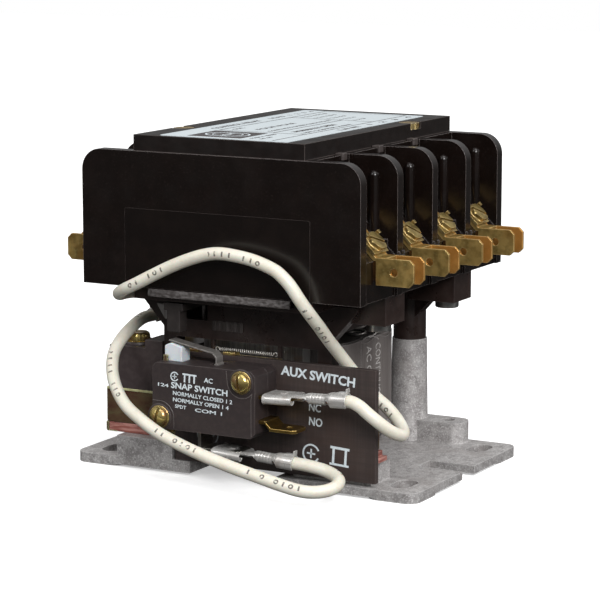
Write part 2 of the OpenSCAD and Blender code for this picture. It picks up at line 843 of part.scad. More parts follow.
module flat_tab(x0, x1, z, hole_x) {
    difference() {
        translate([0, 0, z - tab_t / 2])
            linear_extrude(tab_t)
                translate([0, case_my])
                    tab_outline(x0, x1, -tab_w / 2, tab_w / 2, 1);
        translate([hole_x, case_my, z - 2])
            cylinder(r = 0.85, h = 4, $fn = 32);
    }
}

module switch_terminal_com() {
    color([0.78, 0.78, 0.75])
        union() {
            box([-6.9, case_my - 2.8, 8.5], [-6.1, case_my + 2.8, case_z0 + 3.8]);
            flat_tab(-6.9, 4.6, 8.9, 2);
        }
}

module switch_terminal_nc() {
    color([0.78, 0.6, 0.3])
        flat_tab(case_x1 - 3.8, case_x1 + 7.8, 22.9, case_x1 + 4.5);
}

module switch_terminal_no() {
    joggle = 1.6;
    color([0.78, 0.6, 0.3]) {
        box([case_x1 - 3.8, case_my - tab_w / 2, 16.7], [case_x1 + 1.8, case_my + tab_w / 2, 17.5]);
        profile_xz([[case_x1 + 1.4, 16.7], [case_x1 + 3, 16.7 - joggle], [case_x1 + 3, 17.5 - joggle],
            [case_x1 + 1.4, 17.5]], case_my - tab_w / 2, case_my + tab_w / 2);
        flat_tab(case_x1 + 2.6, case_x1 + 9.4, 17.1 - joggle, case_x1 + 6.4);
    }
}

module extension_spring() {
    color([0.7, 0.68, 0.66])
        translate([-8.9, spring_y, 30.9])
            rotate([0, 90, 0])
                difference() {
                    cylinder(r = 0.8, h = 17, $fn = 24);
                    translate([0, 0, -1])
                        cylinder(r = 0.4, h = 19, $fn = 24);
                }
}

// Female connector along +X: an open receptacle that the tab enters, then wire and jacket crimps
module receptacle(length) {
    wall = 0.35;
    hy = 3.9;
    hz = 1.4;
    difference() {
        box([0, -hy, -hz], [8.4, hy, hz]);
        box([-1, -hy + wall, -hz + wall], [8, hy - wall, hz - wall]);
    }
    box([8.3, -1.4, -1], [length - 4, 1.4, 1]);
    translate([length - 4.1, 0, 0])
        rotate([0, 90, 0])
            difference() {
                cylinder(r = lead_d / 2 + 0.4, h = 4.1, $fn = 40);
                translate([0, 0, 1])
                    cylinder(r = lead_d / 2, h = 4, $fn = 40);
            }
}

module connector_upper() {
    color([0.8, 0.8, 0.78])
        translate([case_x1 + 1, case_my, 22.9])
            rotate([0, -2, 0])
                receptacle(20.6);
}

module connector_lower() {
    color([0.8, 0.8, 0.78])
        translate([-2.8, case_my, 8.8])
            rotate([0, 3.5, 0])
                receptacle(20.4);
}

module connector_coil(p) {
    color([0.8, 0.8, 0.78])
        translate([p[0], p[1] - 0.9, p[2]])
            rotate([0, 0, -90])
                receptacle(14.2);
}

// Round tube swept along a route, with a closed cap at each end
function unit(v) = v / norm(v);
function tangent(p, i) = unit(p[min(i + 1, len(p) - 1)] - p[max(i - 1, 0)]);
function side_of(t) = unit(cross(t, abs(t[2]) > 0.95 ? [0, 1, 0] : [0, 0, 1]));

module tube(route, r) {
    n = 8;
    last = len(route) - 1;
    points = [for (i = [0 : last]) let (t = tangent(route, i), a = side_of(t), b = cross(a, t))
        for (k = [0 : n - 1]) route[i] + r * (cos(360 * k / n) * a + sin(360 * k / n) * b)];
    skin = [for (i = [0 : last - 1]) for (k = [0 : n - 1]) let (m = (k + 1) % n)
        for (f = [[i * n + k, i * n + m, (i + 1) * n + m], [i * n + k, (i + 1) * n + m, (i + 1) * n + k]])
            f];
    cap_a = [for (k = [0 : n - 1]) n - 1 - k];
    cap_b = [for (k = [0 : n - 1]) last * n + k];
    polyhedron(points = points, faces = concat(skin, [cap_a], [cap_b]));
}

module lead_upper() {
    color([0.88, 0.86, 0.78])
        tube(upper_route, lead_d / 2);
}

module lead_lower() {
    color([0.88, 0.86, 0.78])
        tube(lower_route, lead_d / 2);
}

base_casting();
magnet_pad();
magnet_yoke();
coil_bobbin();
coil_winding();
coil_wrap();
clamp_bar();
clamp_shims();
coil_terminal_block();
coil_terminal_screws();
coil_terminals();
lower_frame();
post_screws();
frame_screws();
contact_block();
arc_cover();
rating_label();
cover_screws();
terminal(-1, 1);  // line_terminal_1
terminal(-1, 2);  // line_terminal_2
terminal(-1, 3);  // line_terminal_3
terminal(-1, 4);  // line_terminal_4
terminal(1, 1);  // load_terminal_1
terminal(1, 2);  // load_terminal_2
terminal(1, 3);  // load_terminal_3
terminal(1, 4);  // load_terminal_4
clamp_screws(-1);  // line_clamp_screws
clamp_screws(1);  // load_clamp_screws
clamp_plates(-1);  // line_clamp_plates
clamp_plates(1);  // load_clamp_plates
fixed_contacts();
armature();
contact_carrier();
contact_bridge(1);  // contact_bridge_1
contact_bridge(2);  // contact_bridge_2
contact_bridge(3);  // contact_bridge_3
contact_bridge(4);  // contact_bridge_4
contact_springs();
return_springs();
switch_board();
switch_bracket();
switch_case();
switch_cover();
switch_screws();
switch_nuts();
switch_lever();
switch_plunger();
switch_terminal_com();
switch_terminal_nc();
switch_terminal_no();
extension_spring();
connector_upper();
connector_lower();
connector_coil(coil_tab_a);  // connector_coil_a
connector_coil(coil_tab_b);  // connector_coil_b
lead_upper();
lead_lower();
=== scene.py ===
"""Looks of the four-pole control relay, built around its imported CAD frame.

Shapes are given in millimetres in the row frame and scaled to metres when a piece is made.
"""

import json
from math import cos, pi, radians, sin, sqrt, tau

import bmesh
import bpy
from mathutils import Matrix, Vector, noise


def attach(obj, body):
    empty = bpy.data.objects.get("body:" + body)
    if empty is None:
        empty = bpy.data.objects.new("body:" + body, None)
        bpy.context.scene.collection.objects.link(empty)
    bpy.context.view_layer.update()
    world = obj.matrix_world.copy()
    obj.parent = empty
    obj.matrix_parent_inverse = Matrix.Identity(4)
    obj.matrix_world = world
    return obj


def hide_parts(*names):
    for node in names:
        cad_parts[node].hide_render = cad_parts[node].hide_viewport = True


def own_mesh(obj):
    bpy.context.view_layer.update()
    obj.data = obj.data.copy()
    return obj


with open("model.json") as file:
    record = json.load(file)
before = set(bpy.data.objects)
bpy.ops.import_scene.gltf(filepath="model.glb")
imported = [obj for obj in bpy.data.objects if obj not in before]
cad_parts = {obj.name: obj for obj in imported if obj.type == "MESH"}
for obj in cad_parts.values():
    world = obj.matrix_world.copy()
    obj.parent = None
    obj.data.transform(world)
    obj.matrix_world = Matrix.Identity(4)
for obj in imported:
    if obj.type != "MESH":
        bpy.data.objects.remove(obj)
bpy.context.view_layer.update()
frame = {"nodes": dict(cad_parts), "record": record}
NODES = frame["nodes"]
MM = 0.001
SIDES = (-1, 1)

# Faces and centres of the CAD parts that the added pieces sit on, in millimetres
POLES = (1, 2, 3, 4)
WALL_T, WALL_PITCH = 2.9, 18.475  # barrier walls of the contact block
BLOCK_FRONT = -38.4
CASE_FACE = -38.7
BOARD_FACE = -28.4
FRAME_FACE = -25.3
SWITCH_MID = -33.55
SWITCH_SCREWS = ((-15.9, 16.1), (6.3, 26.4))  # x and z
COIL_SCREW = (-33.2, -20.4, 0)
RAMP_X, RAMP_Z = 34.6, 59.114  # middle of the sloped land under a clamp screw
LABEL_TOP = 82.6
LEAD_D = 3.0


def add_object(name, data):
    obj = bpy.data.objects.new(name, data)
    bpy.context.scene.collection.objects.link(obj)
    return obj


# ---- camera
CAMERA_PLACE = (0.29053, -0.53123, 0.14236)
CAMERA_TURN, CAMERA_RISE = 28.62, 9.64  # degrees round from the front, and up
CAMERA_LENS, CAMERA_SENSOR = 150.68, 36


def look_along(obj, direction):
    """Turns a camera or a light to look along a direction."""
    obj.rotation_mode = "QUATERNION"
    obj.rotation_quaternion = direction.to_track_quat("-Z", "Y")


def add_camera():
    turn, rise = radians(CAMERA_TURN), radians(CAMERA_RISE)
    back = Vector((sin(turn) * cos(rise), -cos(turn) * cos(rise), sin(rise)))
    data = bpy.data.cameras.new("camera")
    data.sensor_width = CAMERA_SENSOR
    data.lens = CAMERA_LENS
    camera = add_object("camera", data)
    camera.location = CAMERA_PLACE
    look_along(camera, -back)
    bpy.context.scene.camera = camera


add_camera()


# ---- shapes
def turns(count):
    """The angles of count equal steps round a circle."""
    return [tau * k / count for k in range(count)]


class Shape:
    """Collects closed forms in millimetres and turns them into one piece of the object."""

    def __init__(self):
        self.mesh = bmesh.new()

    def faces(self, points, faces, place=None):
        spots = [Vector(p) if place is None else place @ Vector(p) for p in points]
        verts = [self.mesh.verts.new(p) for p in spots]
        for face in faces:
            self.mesh.faces.new([verts[i] for i in face])
        return self

    def box(self, low, high, place=None):
        corners = [(x, y, z) for x in (low[0], high[0]) for y in (low[1], high[1])
                   for z in (low[2], high[2])]
        sides = [(0, 1, 3, 2), (4, 6, 7, 5), (0, 4, 5, 1), (2, 3, 7, 6), (0, 2, 6, 4), (1, 5, 7, 3)]
        return self.faces(corners, sides, place)

    def loft(self, sections, closed=True, place=None):
        """Joins sections that have the same number of points; closed sections get end caps."""
        n, last = len(sections[0]), len(sections) - 1
        faces = []
        for i in range(last):
            for k in range(n if closed else n - 1):
                m = (k + 1) % n
                faces.append((i * n + k, i * n + m, (i + 1) * n + m, (i + 1) * n + k))
        if closed:
            faces += [tuple(range(n))[::-1], tuple(range(last * n, last * n + n))]
        return self.faces([p for section in sections for p in section], faces, place)

    def prism(self, outline, a, b, place=None):
        """Extrudes an outline in the local XY plane from z = a to z = b."""
        return self.loft([[(x, y, z) for x, y in outline] for z in (a, b)], place=place)

    def revolve(self, profile, place=None, sides=32):
        """Turns (radius, height) pairs round the local Z axis; the ends are closed."""
        return self.loft([[(radius * cos(a), radius * sin(a), height) for a in turns(sides)]
                          for radius, height in profile], place=place)

    def sweep(self, path, radius, sides=8):
        """Round wire along a path, carried without twist."""
        path = [Vector(p) for p in path]
        sections, normal = [], None
        for i, point in enumerate(path):
            ahead = (path[min(i + 1, len(path) - 1)] - path[max(i - 1, 0)]).normalized()
            if normal is None:
                start = Vector((0, 0, 1)) if abs(ahead.z) < 0.9 else Vector((0, 1, 0))
                normal = ahead.cross(start).normalized()
            normal = (normal - ahead * normal.dot(ahead)).normalized()
            other = ahead.cross(normal)
            sections.append([point + radius * (cos(a) * normal + sin(a) * other) for a in turns(sides)])
        return self.loft(sections)

    def piece(self, name, slot, body="root", bevel=0.0, sharp=30, look=None, thick=0.0):
        """Makes the piece. Edges over the angle sharp stay hard; thick turns a surface into bent sheet."""
        bmesh.ops.recalc_face_normals(self.mesh, faces=self.mesh.faces)
        data = bpy.data.meshes.new(name)
        bmesh.ops.scale(self.mesh, vec=(MM, MM, MM), verts=self.mesh.verts)
        self.mesh.to_mesh(data)
        self.mesh.free()
        data.shade_smooth()
        data.set_sharp_from_angle(angle=radians(sharp))
        obj = add_object(name, data)
        data.materials.append(LOOKS[look or slot])
        if thick:
            solid = obj.modifiers.new("sheet", "SOLIDIFY")
            solid.thickness = thick * MM
            solid.offset = 0
        if bevel:
            add_bevel(obj, bevel)
        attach(obj, body)
        return obj


def add_bevel(obj, width, segments=2):
    modifier = obj.modifiers.new("edges", "BEVEL")
    modifier.width = width * MM
    modifier.segments = segments
    modifier.limit_method = "ANGLE"
    modifier.angle_limit = radians(30)
    modifier.use_clamp_overlap = True
    modifier.harden_normals = True


def frame_at(origin, x_axis, z_axis):
    """Matrix with its origin and its X and Z axes in the row frame."""
    z = Vector(z_axis).normalized()
    x = Vector(x_axis)
    x = (x - z * x.dot(z)).normalized()
    matrix = Matrix((x, z.cross(x), z)).transposed().to_4x4()
    matrix.translation = Vector(origin)
    return matrix


def facing_front(x, y, z, drop=0.0):
    """Local Z points to the front, -Y, and local X to the right, falling by drop per millimetre."""
    return frame_at((x, y, z), (1, 0, -drop), (0, -1, 0))


def turned(place, degrees, axis="Z"):
    """The place turned about its own axis."""
    return place @ Matrix.Rotation(radians(degrees), 4, axis)


def smooth_path(points, steps=6):
    """Catmull-Rom curve through the points."""
    points = [Vector(p) for p in points]
    ends = [2 * points[0] - points[1], *points, 2 * points[-1] - points[-2]]
    path = []
    for i in range(len(points) - 1):
        p0, p1, p2, p3 = ends[i:i + 4]
        for k in range(steps):
            t = k / steps
            path.append(0.5 * (2 * p1 + (p2 - p0) * t + (2 * p0 - 5 * p1 + 4 * p2 - p3) * t * t
                               + (3 * p1 - p0 - 3 * p2 + p3) * t ** 3))
    return path + [points[-1]]


# ---- materials
LOOKS = {}


def fill(node, **values):
    """Sets a node's inputs, named with underscores for spaces, to values or to other nodes' outputs."""
    for key, value in values.items():
        socket = node.inputs[key.replace("_", " ")]
        if isinstance(value, bpy.types.NodeSocket):
            node.id_data.links.new(value, socket)
        else:
            socket.default_value = value
    return node


class Look:
    """One material's nodes. Patterns read object coordinates, so they follow each part."""

    def __init__(self, name, colour, rough, metal=0.0, specular=0.5):
        self.material = bpy.data.materials.new(name)
        self.material.use_nodes = True
        self.tree = self.material.node_tree
        self.shader = self.tree.nodes["Principled BSDF"]
        self.place = self.node("ShaderNodeTexCoord").outputs["Object"]
        self.colour = (*colour, 1)
        self.relief = {}
        self.set(Base_Color=self.colour, Roughness=rough, Metallic=metal, Specular_IOR_Level=specular)
        LOOKS[name] = self.material

    def node(self, kind, **settings):
        made = self.tree.nodes.new(kind)
        for key, value in settings.items():
            setattr(made, key, value)
        return made

    def set(self, **values):
        fill(self.shader, **values)
        return self

    def noise(self, scale, detail=3.0, offset=0.0):
        """Noise in object coordinates: a scale of 1000, for all axes or per axis, gives 1 mm features."""
        mapping = fill(self.node("ShaderNodeMapping"), Vector=self.place, Location=(offset,) * 3,
                       Scale=scale if isinstance(scale, tuple) else (scale,) * 3)
        return fill(self.node("ShaderNodeTexNoise"), Vector=mapping.outputs["Vector"],
                    Scale=1.0, Detail=detail, Roughness=0.55).outputs["Fac"]

    def spread(self, value, low, high, to_low=0.0, to_high=1.0):
        return fill(self.node("ShaderNodeMapRange", clamp=True), Value=value, From_Min=low, From_Max=high,
                    To_Min=to_low, To_Max=to_high).outputs["Result"]

    def math(self, operation, *values):
        made = self.node("ShaderNodeMath", operation=operation)
        for socket, value in zip(made.inputs, values):
            if isinstance(value, float):
                socket.default_value = value
            else:
                self.tree.links.new(value, socket)
        return made.outputs[0]

    def times(self, first, *others):
        for other in others:
            first = self.math("MULTIPLY", first, other)
        return first

    def between(self, value, low, high):
        """1 where the value is over low and under high."""
        return self.times(self.math("GREATER_THAN", value, low), self.math("LESS_THAN", value, high))

    def centred(self, value):
        """How far the value is past the middle of its own unit step, from -0.5 to 0.5."""
        return self.math("SUBTRACT", self.math("FRACT", value), 0.5)

    def paint(self, mask, colour, amount=1.0):
        """Lays a colour over what is there, where mask is 1."""
        mix = self.node("ShaderNodeMix", data_type="RGBA")
        fill(mix, Factor=self.times(mask, float(amount)), A=self.colour, B=(*colour, 1))
        self.colour = mix.outputs["Result"]
        return self.set(Base_Color=self.colour)

    def mottle(self, scale, colour, low=0.45, high=0.62, amount=1.0, detail=3.0, offset=0.0):
        return self.paint(self.spread(self.noise(scale, detail, offset), low, high), colour, amount)

    def vary_rough(self, scale, low, high):
        return self.set(Roughness=self.spread(self.noise(scale, offset=3.1), 0.35, 0.65, low, high))

    def bumpy(self, scale, strength, depth=0.05, detail=4.0):
        """Adds relief with a depth in millimetres."""
        bump = fill(self.node("ShaderNodeBump"), Strength=strength, Distance=depth * MM,
                    Height=self.noise(scale, detail, 7.7), **self.relief)
        self.relief = {"Normal": bump.outputs["Normal"]}
        return self.set(**self.relief)

    def edge_wear_and_highlight(self, radius, colour, amount=1.0, low=0.02, high=0.25):
        """Paints the edges lighter, where the normal of a bevel of this radius leaves the face's own: partly
        wear, partly a painted highlight along each edge.
        """
        bevel = fill(self.node("ShaderNodeBevel", samples=4), Radius=radius * MM)
        dot = self.node("ShaderNodeVectorMath", operation="DOT_PRODUCT")
        for source, socket in zip((bevel, self.node("ShaderNodeNewGeometry")), dot.inputs):
            self.tree.links.new(source.outputs["Normal"], socket)
        turn = self.math("SUBTRACT", 1.0, dot.outputs["Value"])
        return self.paint(self.spread(turn, low, high), colour, amount)

    def paint_reflection_between_blades(self, colour, amount):
        """Paints a reflection on the two faces of a terminal that look at each other: the warm light that
        each brass face throws on the other.
        """
        inner, outer = 2.2, 2.7  # distances from the pole's middle
        first_wall = BLOCK_FRONT + WALL_T / 2
        split = fill(self.node("ShaderNodeSeparateXYZ"), Vector=self.place)
        past = self.math("SUBTRACT", split.outputs["Y"], first_wall * MM)
        off = self.math("ABSOLUTE", self.centred(self.math("DIVIDE", past, WALL_PITCH * MM)))
        return self.paint(self.between(off, inner / WALL_PITCH, outer / WALL_PITCH), colour, amount)


# Looks that lighten their edges: partly wear, partly a painted highlight along the edges.
(Look("cast_aluminium", (0.42, 0.405, 0.40), 0.48, metal=0.35)
 .mottle(420, (0.25, 0.235, 0.232), 0.42, 0.62, 0.8, detail=5)
 .mottle(2600, (0.66, 0.645, 0.64), 0.52, 0.66, 0.75, detail=2, offset=2.0)
 .mottle(1700, (0.17, 0.155, 0.15), 0.56, 0.7, 0.55, detail=2, offset=12.0)
 .mottle(90, (0.30, 0.275, 0.265), 0.5, 0.7, 0.5, offset=5.0)
 .edge_wear_and_highlight(0.5, (0.70, 0.69, 0.68), 0.65)
 .bumpy(900, 0.7, 0.14).bumpy(3200, 0.6, 0.05)
 .vary_rough(700, 0.42, 0.66))
(Look("red_fibre", (0.27, 0.085, 0.065), 0.5)
 .mottle((200, 200, 1300), (0.46, 0.22, 0.185), 0.44, 0.58, 0.9)
 .mottle((260, 260, 1900), (0.13, 0.045, 0.038), 0.54, 0.66, 0.8, offset=4.0)
 .bumpy((500, 500, 4000), 0.5, 0.05))
(Look("magnet_steel", (0.30, 0.29, 0.28), 0.42, metal=0.9)
 .mottle((2800, 60, 60), (0.16, 0.15, 0.15), 0.4, 0.6, 0.8)
 .mottle(250, (0.22, 0.15, 0.11), 0.55, 0.7, 0.5, offset=3.0)
 .bumpy((2800, 60, 60), 0.4, 0.05))
(Look("bobbin_nylon", (0.035, 0.03, 0.028), 0.45)
 .bumpy(1200, 0.3, 0.03))
(Look("copper_wire", (0.42, 0.14, 0.05), 0.3, metal=0.8)
 .bumpy((60, 60, 4500), 0.8, 0.1))
(Look("coil_tape", (0.115, 0.10, 0.095), 0.34)
 .mottle((160, 160, 40), (0.165, 0.148, 0.14), 0.42, 0.62, 0.8)
 .mottle((1500, 1500, 90), (0.08, 0.068, 0.065), 0.5, 0.66, 0.4, offset=4.0)
 .edge_wear_and_highlight(0.4, (0.42, 0.40, 0.385), 0.6)
 .bumpy((220, 220, 60), 0.5, 0.25))
(Look("bar_zinc", (0.12, 0.078, 0.042), 0.26, metal=0.3)
 .mottle((190, 190, 300), (0.085, 0.035, 0.024), 0.4, 0.62, 0.9)
 .mottle((160, 160, 420), (0.15, 0.155, 0.07), 0.52, 0.68, 0.55, offset=6.0)
 .edge_wear_and_highlight(0.5, (0.66, 0.70, 0.38), 0.9)
 .bumpy((60, 60, 900), 0.35, 0.06))
(Look("terminal_block_black", (0.038, 0.027, 0.027), 0.46)
 .mottle(700, (0.052, 0.039, 0.038), amount=0.7)
 .edge_wear_and_highlight(0.4, (0.12, 0.105, 0.10), 0.6)
 .bumpy(1500, 0.35, 0.04))
(Look("zinc_yellow", (0.52, 0.40, 0.14), 0.2, metal=0.85)
 .mottle(420, (0.34, 0.15, 0.075), 0.45, 0.6, 0.75)
 .mottle(330, (0.50, 0.58, 0.30), 0.55, 0.68, 0.55, offset=8.0)
 .edge_wear_and_highlight(0.25, (0.90, 0.84, 0.55), 0.5)
 .bumpy(1400, 0.25, 0.03))
(Look("coil_brass", (0.55, 0.38, 0.13), 0.34, metal=1.0)
 .mottle(500, (0.36, 0.25, 0.09), amount=0.7)
 .edge_wear_and_highlight(0.25, (0.90, 0.70, 0.34), 0.7))
(Look("frame_black", (0.021, 0.0125, 0.0105), 0.36)
 .mottle(380, (0.031, 0.0195, 0.017), amount=0.8)
 .edge_wear_and_highlight(0.35, (0.10, 0.085, 0.08), 0.5)
 .bumpy(700, 0.25, 0.05)
 .vary_rough(300, 0.26, 0.42))
(Look("plated_steel", (0.58, 0.57, 0.55), 0.28, metal=1.0)
 .mottle(600, (0.38, 0.37, 0.36), amount=0.6)
 .bumpy(1800, 0.25, 0.03))
(Look("block_black", (0.005, 0.003, 0.0024), 0.2)
 .mottle(160, (0.007, 0.0042, 0.0034), amount=0.8)
 .mottle(2600, (0.020, 0.014, 0.013), 0.62, 0.72, 0.8, detail=2, offset=4.0)
 # painted highlight: thin light lines on the rims of the walls
 .edge_wear_and_highlight(0.24, (0.26, 0.225, 0.215), 0.85)
 .bumpy(120, 0.25, 0.05).bumpy(2200, 0.12, 0.02)
 .vary_rough(200, 0.16, 0.27))
(Look("cover_black", (0.0065, 0.0042, 0.0036), 0.42, specular=0.3)
 .mottle(420, (0.0095, 0.0062, 0.0054), amount=0.8)
 .edge_wear_and_highlight(0.3, (0.17, 0.14, 0.13), 0.7)
 .bumpy(1500, 0.3, 0.04)
 .vary_rough(260, 0.36, 0.5))
(Look("label_print", (0.545, 0.60, 0.625), 0.42, specular=0.35)
 .mottle(300, (0.51, 0.57, 0.605), amount=0.5)
 .bumpy(150, 0.2, 0.04)
 .set(Coat_Weight=0.12))
(Look("clip_brass", (0.66, 0.50, 0.22), 0.3, metal=1.0)
 .mottle(500, (0.45, 0.33, 0.14), amount=0.6)
 .edge_wear_and_highlight(0.3, (0.95, 0.85, 0.60), 0.7)
 .bumpy(1400, 0.3, 0.03))
(Look("terminal_brass", (0.46, 0.31, 0.10), 0.4, metal=0.7)
 .mottle(420, (0.215, 0.145, 0.042), 0.4, 0.62, 0.9, detail=5)
 .mottle(1700, (0.42, 0.33, 0.12), 0.55, 0.68, 0.55, detail=2, offset=3.0)
 .mottle(120, (0.40, 0.20, 0.045), 0.5, 0.66, 0.5, offset=9.0)
 # painted reflection on the facing blades of each terminal
 .paint_reflection_between_blades((0.64, 0.29, 0.06), 0.68)
 .edge_wear_and_highlight(0.32, (1.0, 0.72, 0.33), 0.95, 0.015, 0.14)
 .bumpy(700, 0.5, 0.06).bumpy(2600, 0.4, 0.025)
 .vary_rough(500, 0.3, 0.5))
(Look("bridge_copper", (0.60, 0.30, 0.14), 0.35, metal=1.0)
 .mottle(420, (0.42, 0.20, 0.09), amount=0.8)
 .bumpy((80, 2200, 80), 0.3, 0.03))
(Look("screw_brass", (0.40, 0.30, 0.11), 0.36, metal=0.8)
 .mottle(520, (0.20, 0.14, 0.045), 0.42, 0.62, 0.9, detail=4)
 .edge_wear_and_highlight(0.28, (0.98, 0.72, 0.36), 0.9, 0.015, 0.16)
 .bumpy(900, 0.5, 0.05)
 .vary_rough(600, 0.28, 0.46))
(Look("contact_silver", (0.74, 0.74, 0.72), 0.3, metal=1.0)
 .mottle(900, (0.50, 0.49, 0.48), amount=0.5))
(Look("carrier_black", (0.022, 0.018, 0.017), 0.42)
 .mottle(400, (0.034, 0.028, 0.026), amount=0.7)
 .bumpy(1100, 0.3, 0.04))
(Look("spring_steel", (0.34, 0.32, 0.305), 0.3, metal=0.6)
 .mottle((900, 60, 900), (0.22, 0.20, 0.185), amount=0.7)
 .edge_wear_and_highlight(0.2, (0.62, 0.60, 0.57), 0.6)
 .bumpy((2600, 120, 2600), 0.3, 0.02))
(Look("board_phenolic", (0.036, 0.0255, 0.0235), 0.56)
 .mottle((1900, 1900, 45), (0.052, 0.037, 0.034), 0.45, 0.62, 0.75)
 .mottle((60, 60, 1500), (0.028, 0.020, 0.0185), 0.45, 0.62, 0.5, offset=5.0)
 .mottle(60, (0.050, 0.026, 0.018), 0.52, 0.7, 0.45, offset=2.2)
 .edge_wear_and_highlight(0.22, (0.16, 0.135, 0.125), 0.6)
 .bumpy((2200, 2200, 160), 0.3, 0.03))
(Look("switch_black", (0.027, 0.0195, 0.0195), 0.5)
 .mottle(900, (0.036, 0.026, 0.025), amount=0.7)
 .edge_wear_and_highlight(0.28, (0.17, 0.145, 0.135), 0.65)
 .bumpy(2000, 0.35, 0.03))
(Look("white_nylon", (0.62, 0.66, 0.69), 0.36)
 .set(Subsurface_Weight=0.25, Subsurface_Scale=0.0015)
 .mottle(300, (0.52, 0.555, 0.58), amount=0.6)
 .bumpy(600, 0.25, 0.04))
(Look("tinned_tab", (0.56, 0.54, 0.50), 0.3, metal=1.0)
 .mottle((600, 80, 600), (0.38, 0.35, 0.31), amount=0.7)
 .edge_wear_and_highlight(0.2, (0.85, 0.82, 0.74), 0.6))
(Look("switch_brass", (0.52, 0.345, 0.10), 0.3, metal=1.0)
 .mottle(500, (0.36, 0.235, 0.07), amount=0.7)
 .edge_wear_and_highlight(0.22, (1.0, 0.80, 0.42), 0.8)
 .bumpy(900, 0.3, 0.03))
(Look("tin_plate", (0.60, 0.59, 0.57), 0.36, metal=0.45)
 .mottle((120, 1500, 1500), (0.36, 0.34, 0.325), 0.42, 0.62, 0.75)
 .mottle(260, (0.30, 0.24, 0.205), 0.54, 0.72, 0.6, offset=6.0)
 .edge_wear_and_highlight(0.25, (0.92, 0.91, 0.88), 0.6)
 .bumpy((160, 1800, 1800), 0.4, 0.03).bumpy(500, 0.3, 0.05)
 .vary_rough(400, 0.22, 0.4))
(Look("block_panel", (0.0045, 0.0027, 0.0022), 0.24)
 .mottle(200, (0.0065, 0.004, 0.0032), amount=0.8)
 .edge_wear_and_highlight(0.12, (0.13, 0.105, 0.10), 0.8)
 .bumpy(140, 0.25, 0.05).bumpy(2200, 0.12, 0.02))
(Look("print_white", (0.62, 0.68, 0.71), 0.55)
 .mottle(1500, (0.48, 0.54, 0.57), amount=0.6))
(Look("print_grey", (0.24, 0.26, 0.27), 0.5)
 .mottle(2400, (0.42, 0.45, 0.47), 0.45, 0.6, 0.7))
(Look("print_black", (0.035, 0.028, 0.030), 0.42)
 .mottle(1500, (0.055, 0.048, 0.050), amount=0.6))
# Lighter copy of the black moulding for small raised parts: painted highlight where they catch the light.
(Look("raised_part_highlight", (0.042, 0.033, 0.031), 0.46)
 .mottle(900, (0.062, 0.050, 0.047), amount=0.7)
 .edge_wear_and_highlight(0.2, (0.20, 0.18, 0.175), 0.8))
(Look("broken_gate", (0.050, 0.042, 0.040), 0.85)
 .mottle((700, 700, 1400), (0.13, 0.12, 0.118), 0.42, 0.6, 0.9, detail=6)
 .bumpy((900, 900, 1600), 1.0, 0.25, detail=6))
(Look("tape_print", (0.44, 0.42, 0.405), 0.5)
 .mottle(1800, (0.20, 0.185, 0.175), 0.45, 0.65, 0.7))
(Look("laminate_dark", (0.030, 0.023, 0.021), 0.42)
 .mottle((1500, 60, 60), (0.075, 0.064, 0.061), 0.42, 0.6, 0.8)
 .edge_wear_and_highlight(0.15, (0.16, 0.14, 0.135), 0.6))
(Look("rim_yellow", (0.62, 0.62, 0.33), 0.3, metal=0.3)
 .mottle(700, (0.42, 0.38, 0.19), amount=0.7))
(Look("spring_bright", (0.66, 0.63, 0.59), 0.3, metal=0.35)
 .mottle(900, (0.48, 0.45, 0.41), amount=0.7))
(Look("brace_grey", (0.26, 0.245, 0.24), 0.5)
 .mottle((1800, 60, 60), (0.16, 0.145, 0.14), 0.4, 0.6, 0.8))
(Look("pin_grey", (0.40, 0.37, 0.36), 0.35, metal=0.4)
 .mottle(900, (0.32, 0.30, 0.29), amount=0.7))
(Look("thread_grey", (0.32, 0.30, 0.285), 0.5)
 .mottle(1200, (0.48, 0.46, 0.44), amount=0.7))


def cream(name):
    """Cream insulation of the leads."""
    return (Look(name, (0.66, 0.635, 0.55), 0.42)
            .mottle(240, (0.59, 0.555, 0.455), 0.4, 0.65, 0.7)
            .mottle(1600, (0.70, 0.68, 0.60), 0.5, 0.65, 0.4, offset=3.0)
            .set(Subsurface_Weight=0.12, Subsurface_Scale=0.001)
            .bumpy(500, 0.3, 0.05))


def add_print(look):
    """Groups of dashes and rings. The UV map "along" has U round the lead and V along it in millimetres."""
    pitch, group_pitch = 1.9, 27.0
    ring_inner, ring_outer = 0.25, 0.62
    dash_half_width, dash_half_length = 0.22, 0.6
    ring_from, dash_from = 0.6, 0.22  # of each cell's random number; below both there's a gap
    calc = look.math
    uv = look.node("ShaderNodeUVMap", uv_map="along").outputs["UV"]
    split = fill(look.node("ShaderNodeSeparateXYZ"), Vector=uv)
    cell = calc("DIVIDE", split.outputs["Y"], pitch)
    noise_node = look.node("ShaderNodeTexWhiteNoise", noise_dimensions="1D")
    pick = fill(noise_node, W=calc("FLOOR", cell)).outputs["Value"]
    along = look.times(look.centred(cell), pitch)
    across = look.times(look.centred(calc("ADD", split.outputs["X"], 0.5)), pi * LEAD_D)
    reach = calc("SQRT", calc("ADD", look.times(along, along), look.times(across, across)))
    ring = look.times(look.between(reach, ring_inner, ring_outer), calc("GREATER_THAN", pick, ring_from))
    dash = look.times(calc("LESS_THAN", calc("ABSOLUTE", along), dash_half_width),
                      calc("LESS_THAN", calc("ABSOLUTE", across), dash_half_length),
                      look.between(pick, dash_from, ring_from))
    group = calc("LESS_THAN", calc("FRACT", calc("DIVIDE", split.outputs["Y"], group_pitch)), 0.55)
    worn = look.spread(look.noise(1500, offset=1.3), 0.3, 0.48)
    look.paint(look.times(calc("ADD", ring, dash), group, worn), (0.085, 0.07, 0.062), 0.9)


cream("lead_plain")
add_print(cream("lead_jacket"))

